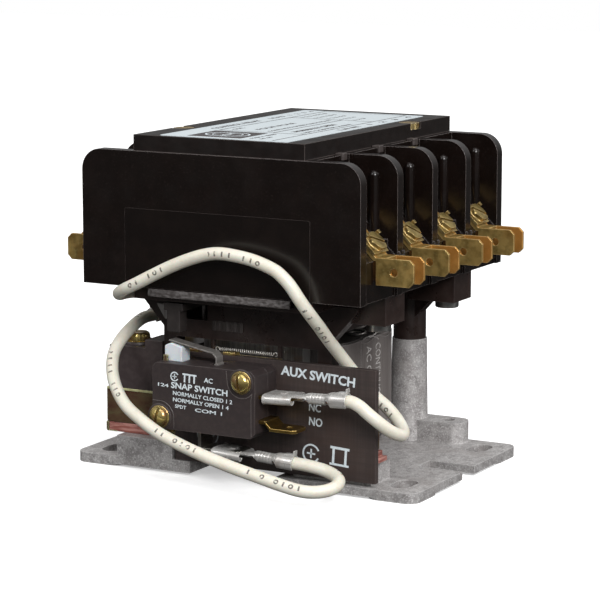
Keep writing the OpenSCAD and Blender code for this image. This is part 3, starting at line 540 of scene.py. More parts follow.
# ---- leads
UPPER_PRINT, LOWER_PRINT = 0.45, 0.66
UPPER_ROUTE = [
    (30.6, -33.55, 23.6), (32.4, -33.55, 23.5), (34.4, -33.5, 22.7), (36.3, -33.2, 21.2),
    (38.5, -32.2, 19.2), (40.4, -30.1, 17), (41.3, -27, 15.5), (40.8, -24, 15.1),
    (39.2, -21.3, 15.8), (36.9, -19.6, 17.5), (34.2, -19, 19.7), (31.5, -19.3, 21.8),
    (29.1, -20.2, 24.4), (27.3, -21.9, 27.4), (26.1, -24.3, 30.5), (25.4, -27.2, 33.5),
    (25.1, -31.2, 36.9), (25.1, -36, 40.9), (24.5, -39.7, 44.5), (23, -41.3, 47.6),
    (21.3, -42.1, 50.5), (19.4, -42.5, 52.6), (17, -42.6, 54.2), (12, -42.5, 55.8),
    (7, -42.5, 56.6), (2.5, -42.5, 56.8), (-1.5, -42.5, 56.1), (-6, -42.5, 54.6),
    (-10.5, -42.5, 52.7), (-15, -42.5, 50.5), (-19.5, -42.4, 48.2), (-23.4, -41.4, 46.4),
    (-27, -38.4, 44.8), (-30, -33.4, 43.5), (-32.4, -27, 42.7), (-33.2, -20.5, 41.9),
    (-32.1, -15.4, 40.6), (-30.2, -11.9, 38.8), (-28.4, -9, 37.1), (-27.3, -6.4, 36.2), (-27, -4, 36),
]
LOWER_ROUTE = [
    (17, -33.55, 7.6), (21.2, -33.4, 7.3), (25.1, -33.5, 6.8), (28.3, -34.5, 6.2),
    (30.8, -36.7, 5.6), (31.6, -39.6, 5), (30.9, -42.4, 4.6), (28.6, -44.7, 4.4), (25.3, -45.7, 4.6),
    (20.5, -45.9, 5.4), (14, -45.5, 6.6), (7.5, -45.1, 7.8), (0.5, -44.8, 9.4),
    (-6.5, -44.4, 11.3), (-13, -43.8, 13.4), (-18.8, -42.6, 15.9), (-24, -40.8, 18.4),
    (-28.3, -38, 21.4), (-31.4, -35, 24.9), (-32.8, -32, 28.8), (-32.7, -28.2, 32),
    (-32.8, -23.3, 34), (-33.7, -18.5, 34.7), (-34.6, -14.8, 34.7), (-35.1, -12.2, 34.5),
    (-35.2, -10, 34.4),
]


def make_lead(name, route, printed_side):
    """Round lead along its route, as a mesh tube, with a UV map for its printed marks."""
    sides = 20
    path = smooth_path(route)
    lead = Shape().sweep(path, LEAD_D / 2 - 0.01, sides).piece(f"{name}_jacket", "lead_jacket", sharp=60)
    layer = lead.data.uv_layers.new(name="along")
    travelled = [0.0]
    for a, b in zip(path, path[1:]):
        travelled.append(travelled[-1] + (b - a).length)
    for face in lead.data.polygons:
        corners = [divmod(lead.data.loops[i].vertex_index, sides) for i in face.loop_indices]
        steps = [step for _, step in corners]
        seam = max(steps) - min(steps) > sides / 2
        for i, (ring, step) in zip(face.loop_indices, corners):
            turn = (step + (sides if seam and step == 0 else 0)) / sides
            layer.data[i].uv = (turn - printed_side, travelled[ring])
    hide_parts(name)


make_lead("lead_upper", UPPER_ROUTE, UPPER_PRINT)
make_lead("lead_lower", LOWER_ROUTE, LOWER_PRINT)


# ---- CAD nodes
def clean_import():
    """Node group that drops the stored normals, welds split corners and marks the sharp edges."""
    group = bpy.data.node_groups.new("clean_import", "GeometryNodeTree")
    for way in ("INPUT", "OUTPUT"):
        group.interface.new_socket("Geometry", in_out=way, socket_type="NodeSocketGeometry")

    def step(kind, settings, **values):
        made = group.nodes.new(kind)
        for key, value in settings.items():
            setattr(made, key, value)
        return fill(made, **values).outputs

    start = step("NodeGroupInput", {})
    angle = step("GeometryNodeInputMeshEdgeAngle", {})
    sharp = step("FunctionNodeCompare", {"data_type": "FLOAT", "operation": "GREATER_THAN"},
                 A=angle["Unsigned Angle"], B=radians(30))
    drop = step("GeometryNodeRemoveAttribute", {}, Geometry=start[0], Name="custom_normal")
    weld = step("GeometryNodeMergeByDistance", {}, Geometry=drop[0], Distance=2e-6)
    flat = step("GeometryNodeSetShadeSmooth", {"domain": "FACE"}, Geometry=weld[0], Shade_Smooth=True)
    crease = step("GeometryNodeSetShadeSmooth", {"domain": "EDGE"}, Geometry=flat[0], Shade_Smooth=False,
                  Selection=sharp["Result"])
    step("NodeGroupOutput", {}, Geometry=crease[0])
    return group


CLEAN = clean_import()

# Edge rounding in millimetres, and the CAD nodes that have it
EDGE_WIDTHS = {
    0.08: "switch_lever",
    0.12: "switch_board switch_bracket switch_terminal_com switch_terminal_nc switch_terminal_no",
    0.15: "magnet_yoke magnet_pad coil_terminals line_clamp_plates load_clamp_plates",
    0.16: " ".join(f"{side}_terminal_{n}" for side in ("line", "load") for n in POLES),
    0.2: "coil_wrap clamp_shims armature switch_case switch_nuts "
         + " ".join(f"contact_bridge_{n}" for n in POLES),
    0.25: "coil_bobbin arc_cover contact_carrier fixed_contacts switch_cover post_screws frame_screws",
    0.3: "lower_frame contact_block cover_screws",
    0.35: "switch_plunger line_clamp_screws load_clamp_screws",
    0.45: "base_casting clamp_bar",
    0.5: "coil_terminal_block",
}


def soften(name, width):
    """Rounds the edges of a CAD node, with its mesh left as it is."""
    obj = NODES[name]
    obj.modifiers.new("clean", "NODES").node_group = CLEAN
    flatten = obj.modifiers.new("flatten", "DECIMATE")
    flatten.decimate_type = "DISSOLVE"
    flatten.angle_limit = 0.01  # radians
    add_bevel(obj, width, 3 if width >= 0.4 else 2)


for part in frame["record"]["subparts"]:
    materials = NODES[part["node"]].data.materials
    materials.clear()
    materials.append(LOOKS[part["material_slot"]])
for edge_width, names in EDGE_WIDTHS.items():
    for node_name in names.split():
        soften(node_name, edge_width)


# ---- small shared shapes
def wall_y(n):
    return BLOCK_FRONT + WALL_PITCH * n


def pole_y(n):
    return BLOCK_FRONT + WALL_T / 2 + WALL_PITCH * (n - 0.5)


def arc(cx, cy, radius, start, end, steps=8):
    """Points of an arc between two angles in degrees."""
    angles = [radians(start + (end - start) * k / steps) for k in range(steps + 1)]
    return [(cx + radius * cos(a), cy + radius * sin(a)) for a in angles]


def rounded(x0, y0, x1, y1, r, steps=6):
    """Outline of a rectangle with rounded corners, counter-clockwise."""
    return (arc(x1 - r, y0 + r, r, -90, 0, steps) + arc(x1 - r, y1 - r, r, 0, 90, steps)
            + arc(x0 + r, y1 - r, r, 90, 180, steps) + arc(x0 + r, y0 + r, r, 180, 270, steps))


def lobed(reach, count, height):
    """Ring of count points round the local Z axis, as far out as reach says for each angle."""
    return [(reach(a) * cos(a), reach(a) * sin(a), height) for a in turns(count)]


def mesh_of(obj):
    """The final mesh of a temporary object, which is then removed."""
    bpy.context.view_layer.update()
    made = bpy.data.meshes.new_from_object(obj.evaluated_get(bpy.context.evaluated_depsgraph_get()))
    bpy.data.objects.remove(obj)
    return made


def temporary(shape):
    """An object that holds a shape while it is cut."""
    bmesh.ops.recalc_face_normals(shape.mesh, faces=shape.mesh.faces)
    data = bpy.data.meshes.new("temporary")
    shape.mesh.to_mesh(data)
    return add_object("temporary", data)


def carve(shape, low, high, place):
    """Cuts a box out of the shape."""
    body, tool = temporary(shape), temporary(Shape().box(low, high, place))
    cut = body.modifiers.new("cut", "BOOLEAN")
    cut.operation = "DIFFERENCE"
    cut.solver = "EXACT"
    cut.object = tool
    result = mesh_of(body)
    bpy.data.objects.remove(tool)
    shape.mesh.clear()
    shape.mesh.from_mesh(result)


def merge(shape, other):
    """Moves the other shape's mesh into the shape."""
    data = bpy.data.meshes.new("merge")
    other.mesh.to_mesh(data)
    shape.mesh.from_mesh(data)
    bpy.data.meshes.remove(data)
    other.mesh.free()


def helix(shape, x, y, radius, wire, low, high, coils, steps=18):
    """Upright coil spring whose first and last coils lie flat."""
    flat = 0.8  # of a coil at each end
    path = []
    total = int(coils * steps)
    for i in range(total + 1):
        t = i / total
        lift = min(max((t * coils - flat) / (coils - 2 * flat), 0), 1)
        angle = tau * coils * t
        path.append((x + radius * cos(angle), y + radius * sin(angle),
                     low + wire + (high - low - 2 * wire) * lift))
    shape.sweep(path, wire)


# ---- quick-connect sockets on the leads
NECK_X, NECK_SPAN = 8.4, 8.1  # where the crimp's neck starts, and its length before it is stretched
JACKET_CRIMP = 4.1  # length of the wings round the jacket


def strip(x, half_width, wrap, top, steps=16):
    """Section across bent sheet: a strip whose sides bend down by the angle wrap, with its crest at top."""
    radius = half_width / wrap
    return [(x, radius * sin(wrap * t), top - radius * (1 - cos(wrap * t)))
            for t in (2 * k / steps - 1 for k in range(steps + 1))]


def socket_roll(x, flare):
    """Section of the open receptacle: a flat back with its sides rolled round the tab's edges."""
    left = arc(-2.78, -0.33, 0.95 + flare, 345, 90, 12)
    right = arc(2.78, -0.33, 0.95 + flare, 90, -165, 12)
    return [(x, y, z) for y, z in left + right]


def make_connector(name, node, origin, x_axis, z_axis, length):
    """Female quick-connect terminal along its local X, crimped on the wire and on the jacket."""
    place = frame_at(origin, x_axis, z_axis)
    upright, lengthwise = turned(place, 90, "X"), turned(place, 90, "Y")
    end = length - JACKET_CRIMP
    stretch = (end - NECK_X) / NECK_SPAN
    rows = ((0, 0.14), (0.35, 0.05), (0.8, 0), (7.1, 0), (7.5, -0.05))
    roll = Shape().loft([socket_roll(x, flare) for x, flare in rows], closed=False, place=place)
    made = roll.piece(f"{name}_socket", "tin_plate", thick=0.35, bevel=0.08, sharp=50)
    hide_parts(node)

    # Rows of the crimp: x, half width, wrap and crest
    rows = [(6.9, 2.75, 0.05, 0.6), (8.0, 2.6, 0.1, 0.62), (8.9, 1.75, 0.75, 0.72), (9.9, 1.6, 1.0, 0.9),
            (10.4, 2.1, 1.6, 1.1), (10.8, 3.3, 2.85, 1.16)]
    for groove in range(4):
        x = 11.35 + groove * 0.85
        rows += [(x, 3.3, 2.85, 1.17), (x + 0.2, 3.1, 2.85, 1.02), (x + 0.4, 3.3, 2.85, 1.17)]
    rows += [(15.0, 3.35, 2.85, 1.2), (15.4, 2.2, 1.5, 1.25), (16.0, 2.3, 1.3, 1.5)]
    rows = [(NECK_X + (x - NECK_X) * stretch if x > NECK_X else x, w, a, t) for x, w, a, t in rows]
    rows += [(end, 4.35, 2.5, 1.66), (end + 0.4, 4.45, 2.55, 1.7), (length - 0.5, 4.45, 2.55, 1.7),
             (length, 4.5, 2.5, 1.78)]
    crimp = Shape().loft([strip(*row) for row in rows], closed=False, place=place)
    crimp.piece(f"{name}_crimp", "tin_plate", thick=0.34, bevel=0.07, sharp=50)

    tail = Shape().prism(
        [(length - 2.6, 1.72), (length - 0.1, 1.78), (length + 0.15, 2.0), (length + 0.15, 3.0),
         (length - 0.2, 3.0), (length - 0.25, 2.15), (length - 2.6, 2.0)], -0.75, 0.75, upright)
    tail.prism([(3.2, 0.72), (3.5, 0.98), (4.6, 1.02), (4.9, 0.72)], -0.8, 0.8, upright)
    tail.piece(f"{name}_tail", "tin_plate", bevel=0.1)

    core = Shape()
    strand, ring = 0.33, 0.62  # radii of a strand, and of the ring of six round the middle one
    start, finish = NECK_X + 1.6 * stretch, end + 0.3
    for x, y in [(ring * cos(a), ring * sin(a)) for a in turns(6)] + [(0, 0)]:
        core.sweep([lengthwise @ Vector((x, y, start + (finish - start) * t / 4)) for t in range(5)], strand)
    core.piece(f"{name}_strands", "copper_wire")

    stub = [(0.9, end), (1.36, end + 0.05), (1.5, end + 0.25), (1.5, length - 0.7)]
    Shape().revolve(stub, lengthwise, 20).piece(
        f"{name}_jacket_end", "lead_jacket", look="lead_plain", sharp=50)


def tilted(degrees):
    """X and Z axes of a connector along X that points up by some degrees."""
    c, s = cos(radians(degrees)), sin(radians(degrees))
    return (c, 0, s), (-s, 0, c)


make_connector("upper", "connector_upper", (10.9, SWITCH_MID, 22.9), *tilted(2), 20.6)
make_connector("lower", "connector_lower", (-2.8, SWITCH_MID, 8.8), *tilted(-3.5), 20.4)
make_connector("coil_a", "connector_coil_a", (-27, 9.5, 36), (0, -1, 0), (0, 0, 1), 14.2)
make_connector("coil_b", "connector_coil_b", (-35.2, 3.5, 34.4), (0, -1, 0), (0, 0, 1), 14.2)


# ---- screws
def domed_screw(shape, place, slot_angle):
    """Screw of the switch: a slotted head with a thin rim under its dome, and its shank."""
    radius, height, slot_width = 2.75, 1.9, 0.75
    dome, rim_top = radius - 0.32, 0.4
    profile = [(radius, 0), (radius, 0.22), (radius - 0.12, 0.36), (dome, rim_top)]
    for k in range(1, 8):
        angle = pi / 2 * k / 8
        profile.append((dome * cos(angle), rim_top + (height - rim_top) * sin(angle)))
    profile.append((0.02, height))
    head = Shape().revolve(profile, place, 40)
    carve(head, (-radius - 1, -slot_width / 2, height * 0.42), (radius + 1, slot_width / 2, height + 1),
          turned(place, slot_angle))
    merge(shape, head)
    shape.revolve([(1.3, -15.2), (1.45, -15), (1.45, 0.1)], place, 20)


screws = Shape()
for (x, z), slot_angle in zip(SWITCH_SCREWS, (80, 98)):
    domed_screw(screws, facing_front(x, CASE_FACE, z), slot_angle)
made = screws.piece("switch_screw_heads", "zinc_yellow", bevel=0.07, sharp=40)
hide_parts("switch_screws")


def ramp_place(side, y):
    """Local Z stands on the sloped land of one side; local X runs down the slope."""
    half = sqrt(0.5)
    return frame_at((side * RAMP_X, y, RAMP_Z), (side * half, 0, -half), (side * half, 0, half))


def clamp_screw(shape, place, slot_angle):
    """Screw of a line or load terminal: a slotted hexagon head, its washer face and its shank."""
    flats, corner = 2.42, 2.75

    def hexagon(limit):
        half = pi / 6
        return lambda angle: min(flats / cos((angle + half) % (pi / 3) - half), limit)

    rings = ((1.0, corner), (1.7, corner), (1.9, 2.55), (2.0, 2.25))
    head = Shape().loft([lobed(hexagon(limit), 48, height) for height, limit in rings], place=place)
    carve(head, (-5, -0.4, 1.25), (5, 0.4, 4), turned(place, slot_angle))
    head.revolve([(2.75, 0.7), (2.75, 0.9), (2.6, 1.04), (1.0, 1.04)], place, 40)
    head.revolve([(1.85, -6), (1.85, 0.75)], place, 20)
    merge(shape, head)


for side, row, turn in ((1, "line", 0), (-1, "load", 80)):
    heads = Shape()
    for n, angle in zip(POLES, (62, 48, 70, 55)):
        clamp_screw(heads, ramp_place(side, pole_y(n)), angle + turn)
    made = heads.piece(f"{row}_screw_heads", "screw_brass", bevel=0.1, sharp=35)
    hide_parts(f"{row}_clamp_screws")


def coil_screw():
    """Terminal screw with a toothed washer and a serrated head."""
    place = Matrix.Translation(COIL_SCREW)
    teeth, serrations = 22, 18
    points = [(3.1 if k % 2 else 2.8, tau * k / (2 * teeth)) for k in range(2 * teeth)]
    shape = Shape().prism([(r * cos(a), r * sin(a)) for r, a in points], 29.4, 30.0, place)

    def serrated(radius, notch):
        return lambda angle: radius - notch * (0.5 + 0.5 * cos(angle * serrations))

    head = Shape().loft([lobed(serrated(radius, notch), 72, height) for height, radius, notch in (
        (30.0, 2.7, 0.0), (30.25, 2.95, 0.12), (31.4, 2.95, 0.12), (31.8, 2.75, 0.05), (32.1, 2.35, 0.0))],
        place=place)
    carve(head, (-4, -0.45, 31.1), (4, 0.45, 33), turned(place, 25))
    merge(shape, head)
    shape.revolve([(1.4, 23), (1.55, 23.2), (1.55, 29.5)], place, 24)
    made = shape.piece("coil_screw_head", "zinc_yellow", bevel=0.07, sharp=35)
    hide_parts("coil_terminal_screws")


coil_screw()

# ---- springs
return_coils = Shape()
for side in SIDES:
    helix(return_coils, side * 16.4, 0, radius=2.0, wire=0.28, low=32.4, high=41.05, coils=6.5)
made = return_coils.piece("return_coils", "spring_steel", sharp=60)
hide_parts("return_springs")
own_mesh(made)

contact_coils = Shape()
for n in POLES:
    helix(contact_coils, 0, pole_y(n), radius=1.75, wire=0.24, low=70.95, high=74.9, coils=4.5)
made = contact_coils.piece("contact_coils", "spring_steel", body="armature", sharp=60)
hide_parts("contact_springs")
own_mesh(made)


def tension_spring():
    """Close-wound spring across the front of the frame, with a hook at each end."""
    y, z, mean, wire = -24.5, 30.75, 0.34, 0.13
    start, finish, pitch, hook = -7.8, 7.0, 0.56, 0.45
    steps = 12  # per turn
    total = int((finish - start) / pitch * steps)
    path = [(start + (finish - start) * i / total,
             y + mean * cos(tau * i / steps), z + mean * sin(tau * i / steps))
            for i in range(total + 1)]
    shape = Shape().sweep(path, wire, 6)
    for side, x in ((-1, start), (1, finish)):
        bend = [radians(a) for a in range(0, 300, 25)]
        shape.sweep([(x + side * (0.1 + hook - hook * cos(a)), y, z + hook * sin(a)) for a in bend],
                    wire)
    made = shape.piece("tension_coil", "spring_steel", look="spring_bright", sharp=60)
    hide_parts("extension_spring")


tension_spring()

# ---- printed words
PRINT_T = 0.05
LABEL_PRINT_T = 0.016


def words(shape, text, place, width, height, bold=0.02, thick=PRINT_T):
    """Adds printed letters whose lower left corner is at the origin of place."""
    data = bpy.data.curves.new("words", "FONT")
    data.body = text
    data.offset = bold
    data.resolution_u = 3
    data.extrude = 0.01
    mesh = mesh_of(add_object("words", data))
    xs = [v.co.x for v in mesh.vertices]
    ys = [v.co.y for v in mesh.vertices]
    left, bottom = min(xs), min(ys)
    sx, sy = width / (max(xs) - left), height / (max(ys) - bottom)
    points = [((v.co.x - left) * sx, (v.co.y - bottom) * sy, thick if v.co.z > 0 else -thick)
              for v in mesh.vertices]
    shape.faces(points, [tuple(p.vertices) for p in mesh.polygons], place)


def front_words(shape, y, *lines):
    """Lines on a face that looks to the front: text, the two lower corners (x, z), height and boldness."""
    for text, left, right, height, bold in lines:
        run = Vector((right[0] - left[0], 0, right[1] - left[1]))
        words(shape, text, frame_at((left[0], y, left[1]), run, (0, -1, 0)), run.length, height, bold)


def ring_mark(shape, place, radius, width, start=0, finish=360, thick=PRINT_T):
    steps = max(8, int((finish - start) / 12))
    outer = arc(0, 0, radius, start, finish, steps)
    inner = arc(0, 0, radius - width, start, finish, steps)
    for i in range(steps):
        shape.prism([outer[i], outer[i + 1], inner[i + 1], inner[i]], -thick, thick, place)


def plus_mark(shape, place, radius, width, gap, arm, half):
    """Plus sign in a ring that is open to the right by the angle gap, up and down."""
    ring_mark(shape, place, radius, width, gap, 360 - gap)
    bar_mark(shape, place, ((-arm, -half), (arm, half)), ((-half, -arm), (half, arm)))


def bar_mark(shape, place, *bars):
    for low, high in bars:
        shape.box((*low, -PRINT_T), (*high, PRINT_T), place)


marks = Shape()
front_words(
    marks, BOARD_FACE,
    ("AUX SWITCH", (11.06, 27.0), (30.5, 25.74), 2.3, 0.03),
    ("NC", (18.5, 19.15), (21.6, 18.95), 2.0, 0.02),
    ("NO", (18.5, 15.75), (22.0, 15.5), 2.0, 0.02))
plus_mark(marks, facing_front(19.1, BOARD_FACE, 9.0, 0.06), 2.3, 0.42, 25, 1.1, 0.2)
bar_mark(marks, facing_front(26.7, BOARD_FACE, 9.4, 0.06),
         ((-2.6, 1.3), (2.4, 1.9)), ((-2.0, -2.1), (-1.4, 1.3)), ((1.2, -2.1), (1.8, 1.3)),
         ((-2.6, -2.6), (2.4, -2.1)))
marks.piece("board_marks", "board_phenolic", look="print_white")

marks = Shape()
ring_mark(marks, facing_front(-8.9, BOARD_FACE, 10.7, 0.06), 3.0, 0.3, 180, 360)
for dx in (-1.1, 1.1):
    ring_mark(marks, facing_front(-8.9 + dx, BOARD_FACE, 10.9), 0.85, 0.28, 190, 350)
marks.piece("board_ring_mark", "board_phenolic", look="print_grey")

marks = Shape()
front_words(
    marks, CASE_FACE,
    ("SNAP SWITCH", (-12.7, 23.35), (2.6, 22.75), 1.5, 0.02),
    ("NORMALLY CLOSED 1 2", (-12.2, 21.75), (3.85, 21.05), 0.95, 0.015),
    ("NORMALLY OPEN 1 4", (-12.2, 20.2), (2.9, 19.6), 0.95, 0.015),
    ("SPDT", (-11.65, 18.7), (-8.6, 18.55), 0.85, 0.015),
    ("COM 1", (-6.2, 18.3), (1.13, 18.05), 0.85, 0.015),
    ("AC", (-3.7, 25.5), (-1.4, 25.4), 1.15, 0.015),
    ("124", (-16.3, 23.55), (-13.4, 23.4), 0.8, 0.015))
plus_mark(marks, facing_front(-11.7, CASE_FACE, 26.15, 0.03), 1.15, 0.28, 30, 0.6, 0.11)
bar_mark(marks, facing_front(-7.65, CASE_FACE, 26.0, 0.04),
         ((-1.9, 0.7), (1.9, 1.1)), ((-1.5, -1.0), (-1.1, 0.7)), ((-0.2, -1.0), (0.2, 0.7)),
         ((1.1, -1.0), (1.5, 0.7)))
marks.piece("case_marks", "switch_black", look="print_white")

# ---- rating label
label = Shape().prism(rounded(-16.3, -37.4, 17.7, 33.6, 1.0), 82.5, LABEL_TOP)
made = label.piece("rating_plate", "label_print")
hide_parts("rating_label")


def label_words(shape, *lines):
    """Lines that read along +Y: text, x of the foot, y of the two ends, height and, if not 0.03, bold."""
    for text, x, y0, y1, height, *bold in lines:
        place = frame_at((x, y0, LABEL_TOP), (0, 1, 0), (0, 0, 1))
        words(shape, text, place, y1 - y0, height, *(bold or [0.03]), 0.015)


marks = Shape()
for x0, y0, x1, y1 in ((-9.9, -20.5, -9.5, 32.4), (12.95, -36, 13.35, 32.4), (-9.9, 32.0, 13.2, 32.4),
                       (4.5, -20.5, 4.9, 14), (-9.9, -20.8, 13.2, -20.4), (-9.9, 13.9, 13.2, 14.3)):
    marks.box((x0, y0, LABEL_TOP - 0.02), (x1, y1, LABEL_TOP + 0.015))
label_words(
    marks,
    ("CONTROL RELAY", -11.6, -19, 4, 2.0),
    ("LOAD   1   2   3   4", -12.0, 9, 31, 1.5),
    ("COIL", -6.6, -18.5, -13.5, 1.3),
    ("FOUR POLE", -1.2, -16, 2, 1.7),
    ("CONTACTS RATED EACH POLE", 2.9, -18.5, 12, 1.2),
    ("NORMALLY OPEN", 9.2, -17, 3.5, 1.9, 0.045),
    ("USE COPPER WIRE", 11.9, -18.5, 6, 1.1),
    *(("1 2 3 4 0 5 8"[:13 - 2 * row], -6.5 + row * 3.6, 15.5, 28 - row * 1.7, 1.2) for row in range(5)),
    ("LINE   1   2   3   4", 16.2, -8, 30, 1.5),
    ("FORM A  SERIES", 7.2, -34.5, -23, 1.0),
    ("50 60", 9.6, -34.5, -29, 1.0))
marks.piece("rating_marks", "label_print", look="print_black")

plaque = Shape().prism(rounded(-9.9, -35.4, 4.4, -22.2, 0.3, 2), LABEL_TOP - 0.02, LABEL_TOP + 0.01)
plaque.piece("rating_plaque", "label_print", look="print_black")

marks = Shape()
centre = Matrix.Translation((-2.8, -28.7, LABEL_TOP)) @ Matrix.Diagonal((1.35, 1.0, 1, 1))
ring_mark(marks, centre, 4.2, 0.35, thick=LABEL_PRINT_T)
ring_mark(marks, centre, 2.9, 0.22, thick=LABEL_PRINT_T)
words(marks, "RELAY", frame_at((-1.9, -31.4, LABEL_TOP), (0, 1, 0), (0, 0, 1)), 5.4, 1.7,
      thick=LABEL_PRINT_T)
marks.piece("rating_oval", "label_print", look="print_white")


# ---- contact block details
def half_rib(shape, x, y, side):
    """Half-round rib with a domed top that stands on a wall face looking to side along Y."""
    radius, foot, top = 1.2, 60.5, 75.2
    sections = []
    for z in [foot] + [top - radius + radius * sin(radians(a)) for a in range(0, 90, 15)]:
        lift = max(z - (top - radius), 0)
        reach = sqrt(max(radius * radius - lift * lift, 0))
        sections.append([(x + px, y + side * py, z) for px, py in arc(0, 0, reach, 0, 180, 12)]
                        + [(x - reach, y - side * 0.1, z), (x + reach, y - side * 0.1, z)])
    shape.loft(sections)


ribs, bumps, lugs, curls = Shape(), Shape(), Shape(), Shape()
LUG = [(36.2, 49.2), (37.9, 50.4), (38.1, 54.6), (37.7, 55.8), (36.9, 56.3), (36.2, 56.3)]
for side in SIDES:
    for n in range(5):
        front, back = wall_y(n), wall_y(n) + WALL_T
        if n > 0:
            half_rib(ribs, side * 31, front, -1)
        if n < 4:
            half_rib(ribs, side * 31, back, 1)
        if n in (0, 4):
            continue
        low, high = sorted((side * 22.75, side * 24.9))
        bumps.box((low, front - 3.9, 77.4), (high, front - 1.6, 79.15))
        lugs.prism(LUG, 0 if side > 0 else -WALL_T, WALL_T if side > 0 else 0,
                   frame_at((0, back, 0), (side, 0, 0), (0, -side, 0)))
        for y in (front + 0.15, back - 0.35):
            bend = [radians(a) for a in range(-60, 200, 20)]
            curls.sweep([(side * (37.0 + 0.45 * sin(a)), y + 0.25 * (1 - cos(a)),
                          56.0 + 0.75 * cos(a - radians(40))) for a in bend], 0.14, 6)
ribs.piece("block_ribs", "block_black", sharp=40)
# bumps and curls are lighter than the block: painted highlight
bumps.piece("block_bumps", "block_black", look="raised_part_highlight", bevel=0.25)
lugs.piece("block_lugs", "block_black", bevel=0.35)
curls.piece("block_curls", "block_black", look="raised_part_highlight", sharp=60)

panel = Shape().prism(rounded(-25.2, 46.7, 24.2, 65.2, 0.4, 2), 0, 0.12, facing_front(0, BLOCK_FRONT, 0))
panel.piece("front_panel", "block_black", look="block_panel")


# ---- moulding and casting details
def gate_band():
    """Rough strip where the moulding was broken from its runner, along the lower front of the block."""
    low, high, half_length = 44.7, 46.45, 18.9
    rows, levels = 96, 7
    sections = []
    for i in range(rows + 1):
        x = -half_length + 2 * half_length * i / rows
        front = []
        for k in range(levels + 1):
            z = low + (high - low) * k / levels
            rough = noise.noise(Vector((x * 1.3, z * 2.1, 3.7)))
            rough += 0.5 * noise.noise(Vector((x * 4.1, z * 5.3, 9.2)))
            edge = 0.3 if k in (0, levels) else 1.0
            front.append((x, BLOCK_FRONT - (0.1 + 0.16 * max(rough + 0.35, 0)) * edge, z))
        sections.append([*front, (x, BLOCK_FRONT + 0.1, high), (x, BLOCK_FRONT + 0.1, low)])
    Shape().loft(sections).piece("gate_band", "block_black", look="broken_gate", sharp=50)


gate_band()

# Low rounded ridge of the switch case: it runs round both screws
(lower_x, lower_z), (upper_x, upper_z) = SWITCH_SCREWS
ridge = Shape()
for points, width in (
        ([(-17.7, 20.0)] + arc(lower_x, lower_z, 3.9, 90, 0, 10)[1:] + [(-12.0, 13.7)], 0.14),
        ([(8.9, 13.9), (8.9, 22.6)] + arc(upper_x, upper_z, 3.75, -40, -165, 12) + [(2.3, 28.8)], 0.12)):
    ridge.sweep([(x, CASE_FACE, z) for x, z in points], width, 6)
# the ridge is lighter than the case: painted highlight
ridge.piece("case_outline", "switch_black", look="raised_part_highlight", sharp=60)

hubs = Shape()
for x, z in SWITCH_SCREWS:
    hubs.revolve([(3.2, -0.1), (3.2, 0.1), (3.05, 0.22), (2.7, 0.22)], facing_front(x, CASE_FACE, z), 36)
hubs.piece("case_hubs", "switch_black", sharp=50)

Shape().box((-16.2, -36.35, 28.8), (-15.1, -35.7, 30.6)).piece(
    "case_pin", "zinc_yellow", look="bar_zinc", bevel=0.12)
Shape().prism(rounded(-17.4, -37.4, -13.2, -29.5, 0.6), 12.35, 12.95).piece(
    "case_spacer", "zinc_yellow", bevel=0.12)
lip = [(-39.2, 10.2), (-38.5, 10.2), (-38.5, 8.12), (-36.2, 8.12), (-36.2, 7.83), (-38.8, 7.83),
       (-39.08, 7.95), (-39.2, 8.25)]
Shape().prism(lip, 0, 4.75, facing_front(0, -21.2, 0)).piece("bar_lip", "bar_zinc", bevel=0.08)
Shape().box((-38.9, -25.95, 18.3), (-18.9, -25.7, 18.92)).piece(
    "bar_rim", "bar_zinc", look="rim_yellow", bevel=0.1)
Shape().revolve(
    [(4.25, 29.3), (4.25, 29.85), (4.1, 30.05), (3.8, 30.05), (3.62, 29.85), (3.62, 29.3)],
    Matrix.Translation(COIL_SCREW), 40).piece("terminal_cup", "terminal_block_black", sharp=40)

on_frame = facing_front(0, FRAME_FACE, 0)
Shape().prism([(-24.6, 40.7), (-22.3, 40.6), (-19.4, 37.3), (-22.2, 37.0)], 0, 0.55, on_frame).piece(
    "frame_brace", "frame_black", look="brace_grey", bevel=0.15)
grille = Shape().prism(rounded(-9.2, 35.3, -0.8, 37.7, 0.3, 3), 0, 0.25, on_frame)
for k in range(7):
    x = -8.7 + k * 1.15
    grille.prism([(x, 35.4), (x + 0.5, 35.4), (x + 0.5, 37.6), (x, 37.6)], 0.2, 0.38, on_frame)
grille.piece("frame_grille", "frame_black", look="laminate_dark", bevel=0.08)

pin = [(0.02, 35.85), (0.3, 35.9), (0.45, 36.1), (0.45, 41.2)]
Shape().revolve(pin, Matrix.Translation((-14.8, -20, 0)), 16).piece(
    "arm_pin", "plated_steel", body="armature", look="pin_grey", sharp=50)

# ---- coil tape
TAPE_FACE, TAPE_T = 20.0, 0.32  # right face of the winding's tape, and its last layer
marks = Shape()
for y0, text in ((-2.6, "AC COIL  60"), (2.2, "CONTINUOUS")):
    words(marks, text, frame_at((20.3, y0, 30.2), (0, 0, -1), (1, 0, 0)), 15.5, 2.6, 0.005, 0.06)
marks.piece("tape_words", "coil_tape", look="tape_print")

corner_x, corner_y = 12, 9  # centre of the coil's rounded corner, which the last layer runs round
route = [(TAPE_FACE, -5.0 + k * 1.0) for k in range(14)] + arc(corner_x, corner_y, 8.0, 0, 40, 5)
sections = []
for k, (x, y) in enumerate(route):
    lift = TAPE_T if k > 1 else 0.05
    out = Vector((x - corner_x, y - corner_y, 0)).normalized() if y > corner_y else Vector((1, 0, 0))
    a, b = Vector((x, y, 0)) - 0.1 * out, Vector((x, y, 0)) + lift * out
    top = 31.6 - 0.5 * sin(k * 0.6)
    sections.append([(a.x, a.y, 10.0), (b.x, b.y, 10.0), (b.x, b.y, top), (a.x, a.y, top)])
Shape().loft(sections).piece("tape_end", "coil_tape", bevel=0.06)

